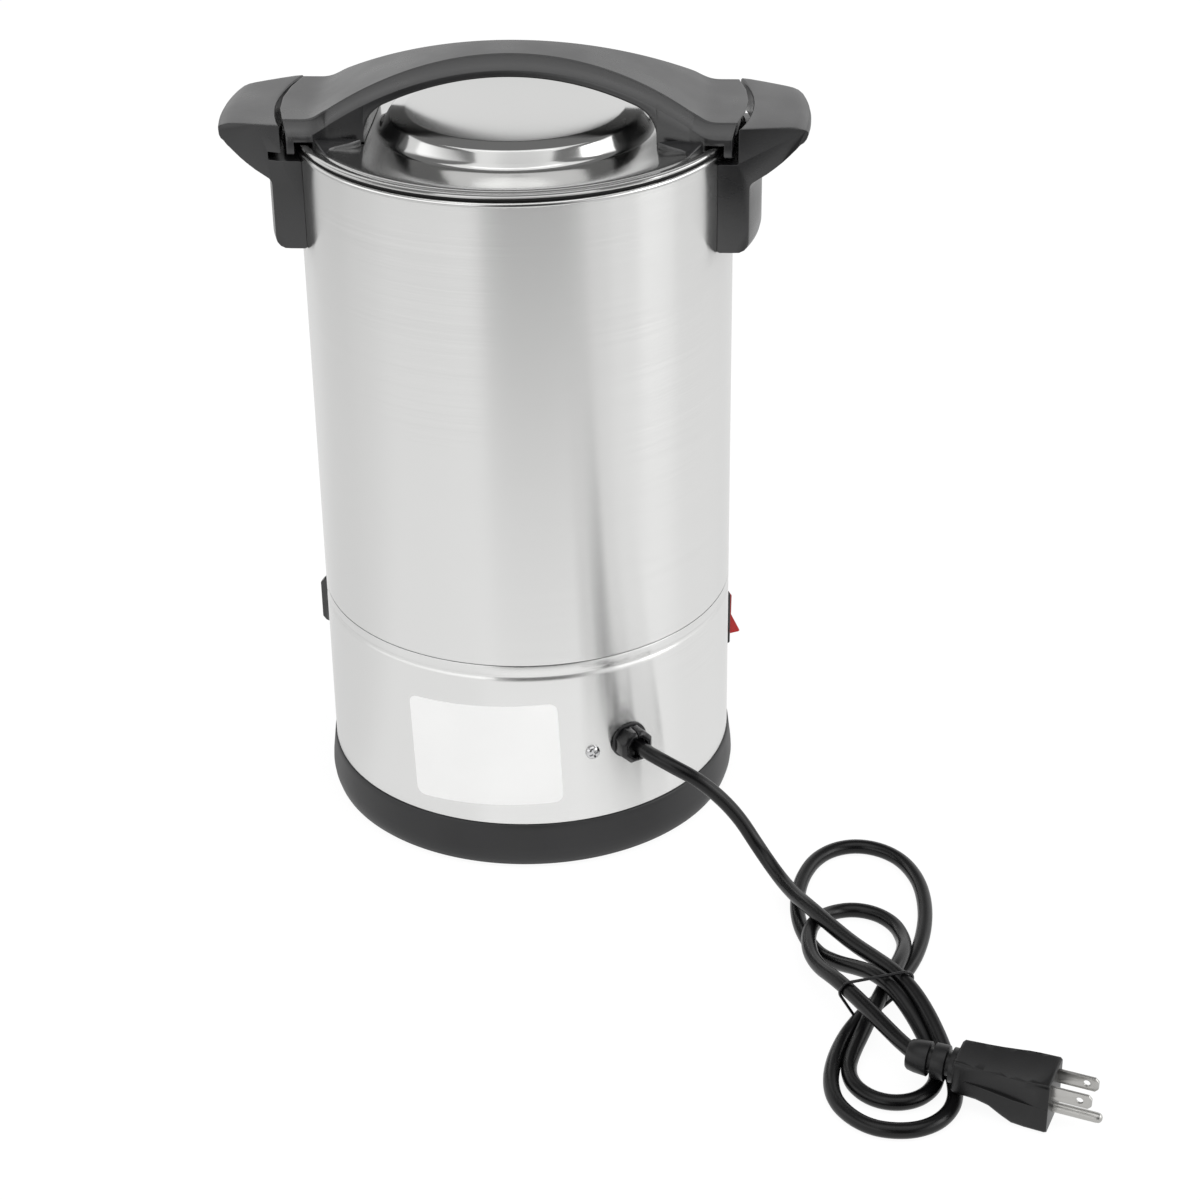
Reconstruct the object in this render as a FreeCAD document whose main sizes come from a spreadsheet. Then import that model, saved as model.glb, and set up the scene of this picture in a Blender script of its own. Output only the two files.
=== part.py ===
import FreeCAD, Part
import math
import os

# Electric candle wax melter: a double-walled steel pot on a heated base, with a
# twist-on lid, a pouring tap at the front and a mains lead at the rear.
# Frame: +Z up, origin on the pot's axis at the plane of the feet, tap towards -Y,
# lead towards +Y, side handles along X. Millimetres.
# An azimuth is counted from +Y towards -X, seen from above.

Vector = FreeCAD.Vector
Rotation = FreeCAD.Rotation
Placement = FreeCAD.Placement

DRIVING_SIZES = {
    # casing
    "body_radius": 105.0, "skin": 0.8, "foot_drop": 1.5,
    "base_top": 25.4, "base_flare_height": 8.5, "base_flare_radius": 107.5,
    "foot_reach": 83.4, "cover_screw_reach": 97.0, "base_low_radius": 106.0, "base_top_radius": 105.8, "base_wall": 4.2,
    "seam_height": 118.2, "bead_low": 109.4, "bead_high": 114.2, "bead_depth": 0.75,
    "jacket_top": 356.9, "rim_height": 357.8, "rim_curl_radius": 105.7, "rim_curl_low": 352.8,
    # pot and lid
    "pot_radius": 98.0, "pot_floor": 124.0, "pot_corner": 5.0,
    "gasket_height": 360.2, "lid_edge_low": 359.0, "lid_edge_radius": 105.7,
    "lid_edge_top": 361.0, "lid_flat_height": 358.9, "lid_flat_radius": 100.2,
    "riser_radius": 65.4, "shoulder_radius": 60.5, "shoulder_height": 366.2,
    "plateau_radius": 49.5, "plateau_height": 367.9, "lid_ring_radius": 88.5, "lid_ring_low": 351.0,
    # lid handle
    "arch_top": 396.6, "arch_radius": 183.0, "arch_depth": 9.6, "arch_bevel": 6.2,
    "arch_half_width": 17.6, "arch_waist_radius": 190.0, "arch_end_width": 39.5,
    "arch_end_radius": 111.5, "platform_height": 370.9, "leg_inside": 69.0, "leg_corner": 14.0,
    "lip_inside": 108.2, "lip_low": 355.8,
    # side handles
    "bracket_radius": 118.7, "bracket_low": 308.5, "bracket_half_width": 38.0, "ledge_height": 352.3,
    "wing_inside": 114.0, "wing_radius": 141.5, "wing_top_inside": 369.7, "wing_top_outside": 367.4,
    "wing_tip_high": 364.4, "wing_tip_low": 359.0, "wing_tip_half_width": 28.5,
    "slot_depth": 5.5, "slot_top": 356.2,
    # controls and rear fittings on the lower housing
    "knob_azimuth": 250.0, "knob_height": 75.0, "knob_skirt_radius": 21.0, "knob_grip_radius": 13.5,
    "knob_length": 17.5, "shaft_radius": 3.0, "shaft_clearance": 0.05,
    "switch_azimuth": 110.0, "switch_height": 74.0, "switch_width": 25.0, "switch_length": 31.0,
    "rocker_pivot": 1.8, "rocker_half": 12.2,
    "gland_azimuth": 32.8, "gland_height": 67.5, "gland_radius": 9.2, "gland_length": 10.0,
    "screw_azimuth": 22.0, "screw_height": 65.1,
    "label_azimuth": -8.2, "label_height": 64.7, "label_width": 77.6, "label_tall": 57.0,
    "label_tilt": 1.75, "label_thickness": 0.3,
    # tap
    "tap_height": 143.0, "tap_reach": 132.0, "tap_shank_radius": 10.0, "tap_barrel_radius": 12.0,
    "plug_cock_radius": 8.0, "plug_cock_clearance": 0.05, "tap_bore_radius": 5.5,
    "spout_reach": 152.0, "spout_radius": 8.5, "spout_low": 114.0, "lever_length": 52.0,
    # heater
    "heater_radius": 72.0, "heater_thickness": 9.0, "element_radius": 55.0, "element_tube": 3.6,
    "shield_height": 92.0, "shield_radius": 96.0,
    # mains lead
    "lead_radius": 3.7, "plug_length": 40.0, "plug_height": 26.4, "plug_half_width": 12.0,
}

# The lead's corners from the gland to the hank, with runs that differ as a loose lead's do.
LEAD_ROUTE = [
    (-46.6, 72.3, 67.5),
    (-60.7, 94.2, 67.5),
    (-76.0, 106.9, 66.0),
    (-95.0, 110.5, 57.0),
    (-112.0, 107.5, 38.0),
    (-124.5, 110.0, 16.0),
    (-136.0, 125.5, 5.6),
    (-147.5, 150.0, 7.4),
]
HANK_ENTRY = (-152.8, 160.5, 8.0)

# The bundle's outline seen from above: an upper loop, the tied waist and a lower loop.
HANK_OUTLINE = [
    (-176.0, 83.0), (-155.0, 92.0), (-141.0, 118.0), (-140.0, 148.0), (-151.0, 184.0),
    (-157.5, 214.0), (-156.5, 250.0), (-154.5, 275.0), (-163.0, 297.0), (-181.0, 310.5),
    (-199.0, 306.0), (-211.0, 291.0), (-213.4, 270.0), (-206.5, 240.0), (-198.0, 214.0),
    (-204.0, 178.0), (-209.2, 145.0), (-206.5, 112.0), (-194.0, 91.0),
]
HANK_LOOP_HEIGHT = 7.6
HANK_WAIST_HEIGHT = 19.0
HANK_WAIST_RANGE = (178.0, 252.0)

# Where the plug's blade face is, and the way the blades point.
PLUG_FACE = (-255.0, 291.0)
PLUG_HEADING = 160.0
PLUG_AXIS_HEIGHT = 14.8
GROUND_PIN_HEIGHT = 7.3


class Size:
    """A length with the spreadsheet expression that gives it."""

    def __init__(self, number, text):
        self.number = number
        self.text = text

    @staticmethod
    def wrap(other):
        return other if isinstance(other, Size) else Size(float(other), repr(float(other)))

    def __add__(self, other):
        other = Size.wrap(other)
        return Size(self.number + other.number, f"({self.text} + {other.text})")

    def __radd__(self, other):
        return Size.wrap(other) + self

    def __sub__(self, other):
        other = Size.wrap(other)
        return Size(self.number - other.number, f"({self.text} - {other.text})")

    def __rsub__(self, other):
        return Size.wrap(other) - self

    def __mul__(self, other):
        other = Size.wrap(other)
        return Size(self.number * other.number, f"({self.text} * {other.text})")

    def __rmul__(self, other):
        return Size.wrap(other) * self

    def __truediv__(self, other):
        other = Size.wrap(other)
        return Size(self.number / other.number, f"({self.text} / {other.text})")

    def __neg__(self):
        return Size(-self.number, f"(-1 * {self.text})")

    def root(self):
        return Size(math.sqrt(self.number), f"sqrt({self.text})")


class Sizes:
    """The driving dimensions, each read as a Size bound to its spreadsheet cell."""

    def __init__(self, document, table):
        sheet = document.addObject("Spreadsheet::Sheet", "sizes")
        for row, (alias, number) in enumerate(table.items(), start=1):
            sheet.set(f"A{row}", alias)
            sheet.set(f"B{row}", str(number))
            sheet.setAlias(f"B{row}", alias)
        document.recompute()
        self.table = table

    def __getattr__(self, alias):
        return Size(self.table[alias], f"sizes.{alias}")


doc = FreeCAD.newDocument("candle_wax_melter")
size = Sizes(doc, DRIVING_SIZES)
sub_parts = []


# ---------------------------------------------------------------- sketch and feature helpers

def new_body(label):
    """Start a sub-part: its label is the node's name."""
    body = doc.addObject("PartDesign::Body", label)
    body.Label = label
    body.AllowCompound = True
    sub_parts.append(body)
    return body


def origin_feature(body, role):
    """The body's own origin plane or axis with this role."""
    return next(f for f in body.Origin.OriginFeatures if f.Role == role)


def new_sketch(body, role, turn=0.0, offset=0.0, across=0.0):
    """A sketch on an origin plane: turned about its vertical axis, or moved along its normal."""
    sketch = body.newObject("Sketcher::SketchObject", "sketch")
    sketch.AttachmentSupport = [(origin_feature(body, role), "")]
    sketch.MapMode = "FlatFace"
    offset, across = Size.wrap(offset), Size.wrap(across)
    place = Vector(across.number, 0, offset.number)
    sketch.AttachmentOffset = Placement(place, Rotation(Vector(0, 1, 0), turn))
    for name, length in (("x", across), ("z", offset)):
        if "sizes." in length.text:
            sketch.setExpression(f"AttachmentOffset.Base.{name}", f"({length.text}) * 1 mm")
    return sketch


def bind(sketch, kind, geometry, point, length):
    """Fix one coordinate of a point, or a radius, to a Size."""
    import Sketcher
    if kind == "Radius":
        index = sketch.addConstraint(Sketcher.Constraint("Radius", geometry, length.number))
    elif abs(length.number) < 1e-9:
        axis = -2 if kind == "DistanceX" else -1
        sketch.addConstraint(Sketcher.Constraint("PointOnObject", geometry, point, axis))
        return
    else:
        index = sketch.addConstraint(Sketcher.Constraint(kind, -1, 1, geometry, point, length.number))
    if "sizes." in length.text:
        sketch.setExpression(f"Constraints[{index}]", length.text)


def arc_between(start, end, radius):
    """An arc under half a turn: centre on the left of the way there, or the right if negative."""
    chord = end - start
    middle = (start + end) * 0.5
    left = Vector(-chord.y, chord.x, 0).normalize()
    rise = math.sqrt(radius * radius - chord.Length * chord.Length / 4.0)
    centre = middle + left * (rise if radius > 0 else -rise)
    first, last = (start, end) if radius > 0 else (end, start)
    angles = [math.atan2(p.y - centre.y, p.x - centre.x) for p in (first, last)]
    if angles[1] < angles[0]:
        angles[1] += 2 * math.pi
    circle = Part.Circle(centre, Vector(0, 0, 1), abs(radius))
    return Part.ArcOfCircle(circle, angles[0], angles[1])


def outline(sketch, corners):
    """Draw a closed outline. A third value on a corner makes the edge that leaves it an arc."""
    import Sketcher
    points = [Vector(Size.wrap(c[0]).number, Size.wrap(c[1]).number, 0) for c in corners]
    ends = []
    for index, corner in enumerate(corners):
        start, end = points[index], points[(index + 1) % len(points)]
        if len(corner) == 3:
            radius = Size.wrap(corner[2])
            edge = sketch.addGeometry(arc_between(start, end, radius.number), False)
            ends.append((edge, 1, 2) if radius.number > 0 else (edge, 2, 1))
        else:
            edge = sketch.addGeometry(Part.LineSegment(start, end), False)
            ends.append((edge, 1, 2))
    for index, (edge, _, last) in enumerate(ends):
        following, first, _ = ends[(index + 1) % len(ends)]
        sketch.addConstraint(Sketcher.Constraint("Coincident", edge, last, following, first))
    for (edge, first, _), corner in zip(ends, corners):
        bind(sketch, "DistanceX", edge, first, Size.wrap(corner[0]))
        bind(sketch, "DistanceY", edge, first, Size.wrap(corner[1]))
        if len(corner) == 3:
            radius = Size.wrap(corner[2])
            bind(sketch, "Radius", edge, 0, radius if radius.number > 0 else -radius)


def circle(sketch, across, up, radius):
    """Draw a circle with its centre and radius bound."""
    across, up, radius = Size.wrap(across), Size.wrap(up), Size.wrap(radius)
    shape = Part.Circle(Vector(across.number, up.number, 0), Vector(0, 0, 1), radius.number)
    edge = sketch.addGeometry(shape, False)
    bind(sketch, "DistanceX", edge, 3, across)
    bind(sketch, "DistanceY", edge, 3, up)
    bind(sketch, "Radius", edge, 0, radius)


def rectangle(sketch, low_x, low_y, high_x, high_y):
    """Draw an upright rectangle."""
    outline(sketch, [(low_x, low_y), (high_x, low_y), (high_x, high_y), (low_x, high_y)])


def bind_length(feature, name, length):
    """Set a feature's length and bind it to the sheet."""
    length = Size.wrap(length)
    setattr(feature, name, length.number)
    if "sizes." in length.text:
        feature.setExpression(name, length.text)


def pad(body, sketch, length, both_ways=False, backwards=False):
    """Extrude a sketch along its normal."""
    feature = body.newObject("PartDesign::Pad", "pad")
    feature.Profile = sketch
    bind_length(feature, "Length", length)
    feature.Midplane = both_ways
    feature.Reversed = backwards
    doc.recompute()
    return feature


def pocket(body, sketch, length=None, both_ways=False, backwards=False):
    """Cut a sketch against its normal, by a length or right through."""
    before = body.Shape.Volume
    feature = body.newObject("PartDesign::Pocket", "pocket")
    feature.Profile = sketch
    if length is None:
        feature.Type = "ThroughAll"
    else:
        bind_length(feature, "Length", length)
    feature.Midplane = both_ways
    feature.Reversed = backwards
    doc.recompute()
    if body.Shape.Volume > before - 0.01:
        raise RuntimeError(f"{body.Label}: a pocket cut nothing")
    return feature


def revolve(body, sketch, angle=360.0, both_ways=False, role="Z_Axis"):
    """Turn a sketch about one of the body's axes, or about the sketch's own upright."""
    feature = body.newObject("PartDesign::Revolution", "revolution")
    feature.Profile = sketch
    own = role == "V_Axis"
    feature.ReferenceAxis = (sketch, ["V_Axis"]) if own else (origin_feature(body, role), [""])
    feature.Angle = angle
    feature.Midplane = both_ways
    doc.recompute()
    return feature


def groove(body, sketch, role="Z_Axis"):
    """Cut a sketch turned all the way about one of the body's axes."""
    before = body.Shape.Volume
    feature = body.newObject("PartDesign::Groove", "groove")
    feature.Profile = sketch
    feature.ReferenceAxis = (origin_feature(body, role), [""])
    feature.Angle = 360.0
    doc.recompute()
    if body.Shape.Volume > before - 0.01:
        raise RuntimeError(f"{body.Label}: a groove cut nothing")
    return feature


def pattern(body, features, count, role="Z_Axis"):
    """Repeat features round an axis."""
    feature = body.newObject("PartDesign::PolarPattern", "pattern")
    feature.Originals = features
    feature.Axis = (origin_feature(body, role), [""])
    feature.Angle = 360.0
    feature.Occurrences = count
    body.Tip = feature
    doc.recompute()
    return feature


def edge_names(body, wanted):
    """Names of the edges of the body's present shape that a test picks."""
    shape = body.Tip.Shape
    return [f"Edge{i}" for i, edge in enumerate(shape.Edges, start=1) if wanted(edge)]


def soften(body, kind, length, wanted):
    """Fillet or chamfer the picked edges."""
    names = edge_names(body, wanted)
    if not names:
        raise RuntimeError(f"{body.Label}: no edge picked for a {kind}")
    feature = body.newObject(f"PartDesign::{kind}", kind.lower())
    feature.Base = (body.Tip if body.Tip != feature else feature.BaseFeature, names)
    bind_length(feature, "Radius" if kind == "Fillet" else "Size", length)
    body.Tip = feature
    doc.recompute()
    return feature


def middle_of(edge):
    """The point half way along an edge."""
    return edge.valueAt((edge.FirstParameter + edge.LastParameter) / 2.0)


def turned_profile(label, corners, angle=360.0, both_ways=False):
    """A sub-part turned from (radius, height) corners about Z."""
    body = new_body(label)
    sketch = new_sketch(body, "XZ_Plane")
    outline(sketch, corners)
    revolve(body, sketch, angle, both_ways)
    return body


def disc_stack(label, steps):
    """A turned sub-part from (radius, low, high) steps on one axis, widest first or not."""
    body = new_body(label)
    for radius, low, high in steps:
        sketch = new_sketch(body, "XZ_Plane")
        rectangle(sketch, 0, low, radius, high)
        revolve(body, sketch)
    return body


def azimuth_turn(azimuth):
    """The turn of an XZ sketch that faces this azimuth."""
    return azimuth - 180.0


def place_on_wall(body, azimuth, height, radius):
    """Stand a body on the casing, its own +Z pointing out and its +Y up."""
    angle = f"{azimuth.text} * 1 deg"
    facing = Rotation(Vector(0, 0, 1), azimuth.number)
    upright = Rotation(Vector(-1, 0, 0), Vector(0, 0, 1), Vector(0, 1, 0), "ZXY")
    body.Placement = Placement(Vector(0, 0, 0), facing.multiply(upright))
    body.setExpression("Placement.Base.x", f"-({radius.text}) * sin({angle}) * 1 mm")
    body.setExpression("Placement.Base.y", f"({radius.text}) * cos({angle}) * 1 mm")
    body.setExpression("Placement.Base.z", f"({height.text}) * 1 mm")
    doc.recompute()


def wall_point(azimuth, height, radius):
    """The place in the melter's frame of a point at this azimuth."""
    angle = math.radians(azimuth)
    return Vector(-radius * math.sin(angle), radius * math.cos(angle), height)


# ---------------------------------------------------------------- base

def make_base_ring():
    """Moulded ring under the steel, with a spigot inside the housing and a ledge for the cover."""
    outer_top = size.body_radius - size.skin
    inside = outer_top - 2.6
    corners = [
        (size.base_low_radius, size.foot_drop),
        (size.base_flare_radius, size.base_flare_height),
        (size.base_top_radius, size.base_top),
        (outer_top, size.base_top),
        (outer_top, size.base_top + 6.0),
        (inside, size.base_top + 6.0),
        (inside, 8.0),
        (inside - 9.0, 8.0),
        (inside - 9.0, 4.2),
        (size.base_low_radius - size.base_wall, 4.2),
        (size.base_low_radius - size.base_wall, size.foot_drop),
    ]
    body = turned_profile("base_ring", corners)
    holes = new_sketch(body, "XY_Plane")
    circle(holes, size.cover_screw_reach, 0, 1.5)
    cut = pocket(body, holes, 20.0, both_ways=True)
    pattern(body, [cut], 4)
    soften(body, "Fillet", 0.8, lambda e: is_ring(e, size.base_top_radius.number, size.base_top.number))
    return body


def is_ring(edge, radius, height, slack=0.05):
    """True for a circle about Z at this radius and height."""
    curve = edge.Curve
    if not isinstance(curve, Part.Circle) or abs(curve.Radius - radius) > slack:
        return False
    return abs(curve.Center.z - height) < slack and abs(curve.Center.x) + abs(curve.Center.y) < slack


def make_bottom_cover():
    """Pressed steel cover with cooling slots, screw holes and foot holes."""
    body = disc_stack("bottom_cover", [(101.4, 2.9, 4.2)])
    slot = new_sketch(body, "XY_Plane")
    outline(slot, [(34.0, -2.2), (62.0, -2.2, 2.201), (62.0, 2.2), (34.0, 2.2, 2.201)])
    slots = pocket(body, slot, 20.0, both_ways=True)
    pattern(body, [slots], 12)
    screw_hole = new_sketch(body, "XY_Plane")
    circle(screw_hole, size.cover_screw_reach, 0, 1.7)
    foot_hole = new_sketch(body, "XY_Plane")
    circle(foot_hole, size.foot_reach * 0.70711, size.foot_reach * 0.70711, 2.5)
    pattern(body, [pocket(body, screw_hole, 20.0, both_ways=True)], 4)
    pattern(body, [pocket(body, foot_hole, 20.0, both_ways=True)], 4)
    return body


def make_rubber_feet():
    """Push-in rubber feet: a tapered pad, a neck through the cover and a head above it."""
    body = new_body("rubber_feet")
    sketch = new_sketch(body, "XZ_Plane", across=size.foot_reach)
    outline(sketch, [
        (0, 0), (7.4, 0), (8.6, 1.0), (9.0, 2.9), (2.5, 2.9), (2.5, 4.2), (3.8, 4.2), (2.0, 7.0), (0, 7.0),
    ])
    pattern(body, [revolve(body, sketch, role="V_Axis")], 4)
    body.Placement = Placement(Vector(0, 0, 0), Rotation(Vector(0, 0, 1), 45.0))
    return body


def make_bottom_screws():
    """Pan-head screws that hold the cover to the base ring."""
    body = new_body("bottom_screws")
    sketch = new_sketch(body, "XZ_Plane", across=size.cover_screw_reach)
    outline(sketch, [(0, 1.3), (2.4, 1.3), (3.2, 2.0), (3.2, 2.9), (1.5, 2.9), (1.5, 9.5), (0, 10.4)])
    pattern(body, [revolve(body, sketch, role="V_Axis")], 4)
    return body


def make_lower_housing():
    """Brushed steel band round the heater, with the rolled groove and holes for the fittings."""
    outside = size.body_radius
    inside = outside - size.skin
    groove_middle = (size.bead_low + size.bead_high) / 2
    body = turned_profile("lower_housing", [
        (outside, size.base_top),
        (outside, size.bead_low),
        (outside - size.bead_depth, groove_middle),
        (outside, size.bead_high),
        (outside, size.seam_height),
        (inside, size.seam_height),
        (inside, size.bead_high),
        (inside - size.bead_depth, groove_middle),
        (inside, size.bead_low),
        (inside, size.base_top),
    ])
    round_hole(body, size.knob_azimuth, size.knob_height, 5.0)
    round_hole(body, size.gland_azimuth, size.gland_height, 6.5)
    round_hole(body, size.screw_azimuth, size.screw_height, 2.0)
    window = new_sketch(body, "XZ_Plane", azimuth_turn(size.switch_azimuth.number))
    rectangle(window, -11.0, size.switch_height - 14.0, 11.0, size.switch_height + 14.0)
    pocket(body, window, 130.0, backwards=True)
    return body


def round_hole(body, azimuth, height, radius):
    """A hole through the wall on the side that faces this azimuth."""
    sketch = new_sketch(body, "XZ_Plane", azimuth_turn(azimuth.number))
    circle(sketch, 0, height, radius)
    return pocket(body, sketch, 130.0, backwards=True)


# ---------------------------------------------------------------- pot and jacket

def make_joint_ring():
    """Steel ring inside the seam: it backs both skins and carries the heat shield."""
    outside = size.body_radius - size.skin
    return turned_profile("joint_ring", [
        (outside - 1.0, size.bead_high + 0.6),
        (outside, size.bead_high + 0.6),
        (outside, size.seam_height + 5.0),
        (outside - 1.0, size.seam_height + 5.0),
        (outside - 1.0, size.bead_high + 1.6),
        (86.0, size.bead_high + 1.6),
        (86.0, size.bead_high + 0.6),
    ])


def make_upper_jacket():
    """Outer skin of the pot, with the tap's hole at the front and the handles' screw holes."""
    outside = size.body_radius
    body = turned_profile("upper_jacket", [
        (outside, size.seam_height),
        (outside, size.jacket_top),
        (outside - size.skin, size.jacket_top),
        (outside - size.skin, size.seam_height),
    ])
    tap = new_sketch(body, "XZ_Plane")
    circle(tap, 0, size.tap_height, size.tap_shank_radius)
    pocket(body, tap, 130.0, backwards=True)
    for height in HANDLE_SCREW_HEIGHTS:
        sketch = new_sketch(body, "YZ_Plane")
        circle(sketch, 0, height, 2.1)
        pocket(body, sketch, 260.0, both_ways=True)
    return body


HANDLE_SCREW_HEIGHTS = (319.0, 341.0)


def make_inner_pot():
    """Pot wall: drawn in at the foot to a rounded corner, and curled over the jacket at the rim."""
    inner = size.pot_radius
    outer = inner + size.skin
    floor = size.pot_floor
    corner = size.pot_corner
    curl_inside = size.body_radius
    body = turned_profile("inner_pot", [
        (inner - corner, floor - size.skin, corner + size.skin),
        (outer, floor + corner),
        (outer, size.jacket_top),
        (curl_inside, size.jacket_top),
        (curl_inside, size.rim_curl_low),
        (size.rim_curl_radius, size.rim_curl_low + 0.4),
        (size.rim_curl_radius, size.rim_height - 0.6),
        (size.rim_curl_radius - 0.6, size.rim_height),
        (inner + 0.8, size.rim_height),
        (inner, size.rim_height - 0.8),
        (inner, floor + corner, -corner),
        (inner - corner, floor),
    ])
    tap = new_sketch(body, "XZ_Plane")
    circle(tap, 0, size.tap_height, size.tap_shank_radius)
    pocket(body, tap, 130.0, backwards=True)
    return body


def make_pot_floor():
    """Floor disc welded inside the pot wall's rounded corner."""
    reach = size.pot_radius - size.pot_corner
    return disc_stack("pot_floor", [(reach, size.pot_floor - size.skin, size.pot_floor)])


def make_insulation():
    """Glass-wool blanket between the pot and the jacket, below the handle screws."""
    return turned_profile("insulation_blanket", [
        (size.pot_radius + size.skin, 160.0),
        (size.body_radius - size.skin, 160.0),
        (size.body_radius - size.skin, 300.0),
        (size.pot_radius + size.skin, 300.0),
    ])


# ---------------------------------------------------------------- heater and inner fittings

def make_heater_plate():
    """Cast heat spreader under the pot, with a groove for the element and bosses for its nuts."""
    top = size.pot_floor - size.skin
    body = disc_stack("heater_plate", [(size.heater_radius, top - size.heater_thickness, top)])
    sketch = new_sketch(body, "XZ_Plane")
    outer = size.element_radius + size.element_tube
    rectangle(sketch, size.element_radius - size.element_tube, top - size.heater_thickness - 1.0,
              outer, top - size.heater_thickness + 4.0)
    groove(body, sketch)
    return body


def make_heating_element():
    """Tubular element bent into an open ring, with both cold ends turned down."""
    body = new_body("heating_element")
    height = size.pot_floor - size.skin - size.heater_thickness + 0.3
    sketch = new_sketch(body, "XZ_Plane")
    circle(sketch, size.element_radius, height, size.element_tube)
    revolve(body, sketch, 330.0, both_ways=True)
    for side in (-1, 1):
        end = math.radians(180.0 + side * 14.0)
        radius = size.element_radius.number
        stub = new_sketch(body, "XY_Plane", offset=height - 16.0)
        circle(stub, radius * math.cos(end), radius * math.sin(end), 2.6)
        pad(body, stub, 16.0)
    return body


def make_element_studs():
    """Studs and nuts that clamp the heater plate's clip to the pot floor."""
    body = new_body("clamp_nuts")
    low = size.pot_floor - size.skin - size.heater_thickness
    sketch = new_sketch(body, "XZ_Plane", across=30.0)
    outline(sketch, [
        (0, low - 7.0), (2.0, low - 7.0), (2.0, low - 5.0), (4.6, low - 5.0), (4.6, low), (0, low),
    ])
    pattern(body, [revolve(body, sketch, role="V_Axis")], 3)
    body.Placement = Placement(Vector(0, 0, 0), Rotation(Vector(0, 0, 1), 30.0))
    return body


def make_thermal_cutout():
    """Snap-disc cut-out held under the heater plate, with two tabs."""
    low = size.pot_floor.number - size.skin.number - size.heater_thickness.number
    body = disc_stack("thermal_cutout", [(8.0, low - 7.0, low), (6.0, low - 10.0, low - 7.0)])
    tabs = new_sketch(body, "XZ_Plane")
    rectangle(tabs, 2.0, low - 17.0, 2.9, low - 10.0)
    pad(body, tabs, 5.0, both_ways=True)
    other = new_sketch(body, "XZ_Plane")
    rectangle(other, -2.9, low - 17.0, -2.0, low - 10.0)
    pad(body, other, 5.0, both_ways=True)
    body.Placement = Placement(Vector(0, 8.0, 0), Rotation())
    doc.recompute()
    return body


def make_heat_shield():
    """Dished shield below the heater that keeps the controls cool, hung on the joint ring."""
    body = turned_profile("heat_shield", [
        (0, size.shield_height),
        (70.0, size.shield_height),
        (84.0, size.bead_high - 0.4),
        (size.shield_radius, size.bead_high - 0.4),
        (size.shield_radius, size.bead_high + 0.6),
        (83.4, size.bead_high + 0.6),
        (69.4, size.shield_height + 1.0),
        (0, size.shield_height + 1.0),
    ])
    wire_hole = new_sketch(body, "XY_Plane")
    circle(wire_hole, 0, 30.0, 7.0)
    pocket(body, wire_hole, 300.0, both_ways=True)
    return body


def make_thermostat():
    """Bimetal thermostat behind the wall: ceramic body, mounting plate and bush."""
    body = new_body("thermostat")
    plate = new_sketch(body, "XY_Plane", offset=-6.0)
    rectangle(plate, -16.0, -11.0, 16.0, 11.0)
    pad(body, plate, 1.5)
    block = new_sketch(body, "XY_Plane", offset=-26.0)
    rectangle(block, -11.0, -9.0, 11.0, 9.0)
    pad(body, block, 20.0)
    bush = new_sketch(body, "XY_Plane", offset=-4.5)
    circle(bush, 0, 0, 5.0)
    pad(body, bush, 6.0)
    hole = new_sketch(body, "XY_Plane", offset=1.5)
    circle(hole, 0, 0, size.shaft_radius + size.shaft_clearance)
    pocket(body, hole, 14.0)
    soften(body, "Fillet", 2.0, lambda e: is_upright(e, 11.0, 9.0))
    place_on_wall(body, size.knob_azimuth, size.knob_height, size.body_radius)
    return body


def is_upright_at(edge, across, along):
    """True for a straight vertical edge at plus or minus this place."""
    return is_upright(edge, across, along)


def is_upright(edge, across, up):
    """True for a straight edge along the body's own Z at plus or minus these places."""
    middle = middle_of(edge)
    level = edge.Vertexes[0].Point - edge.Vertexes[-1].Point
    along = abs(level.x) + abs(level.y) < 0.01 and abs(level.z) > 0.5
    return along and abs(abs(middle.x) - across) < 0.05 and abs(abs(middle.y) - up) < 0.05


def make_thermostat_shaft():
    """D-shaped spindle that the knob turns."""
    body = new_body("thermostat_shaft")
    sketch = new_sketch(body, "XY_Plane", offset=-12.0)
    circle(sketch, 0, 0, size.shaft_radius)
    pad(body, sketch, 27.0)
    flat = new_sketch(body, "XY_Plane", offset=15.0)
    rectangle(flat, -4.0, 1.8, 4.0, 4.0)
    pocket(body, flat, 9.0)
    place_on_wall(body, size.knob_azimuth, size.knob_height, size.body_radius)
    return body


def make_knob():
    """Temperature knob: a flared skirt and a tapered round grip with a finger bar across its end."""
    body = new_body("temperature_knob")
    length = size.knob_length
    grip = size.knob_grip_radius
    sketch = new_sketch(body, "XZ_Plane")
    outline(sketch, [
        (0, 1.9), (size.knob_skirt_radius, 1.9), (size.knob_skirt_radius, 3.4),
        (grip + 2.5, 5.6), (grip + 1.0, 8.0), (grip, length - 2.0), (grip - 2.0, length), (0, length),
    ])
    revolve(body, sketch)
    for side in (-1, 1):
        scoop = new_sketch(body, "XY_Plane", offset=length)
        edge_low, edge_high = sorted((side * 5.0, side * 22.0))
        rectangle(scoop, edge_low, -22.0, edge_high, 22.0)
        pocket(body, scoop, 7.5)
    bore = new_sketch(body, "XY_Plane", offset=0.0)
    circle(bore, 0, 0, size.shaft_radius)
    pocket(body, bore, 15.0, backwards=True)
    place_on_wall(body, size.knob_azimuth, size.knob_height, size.body_radius)
    return body


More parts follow.
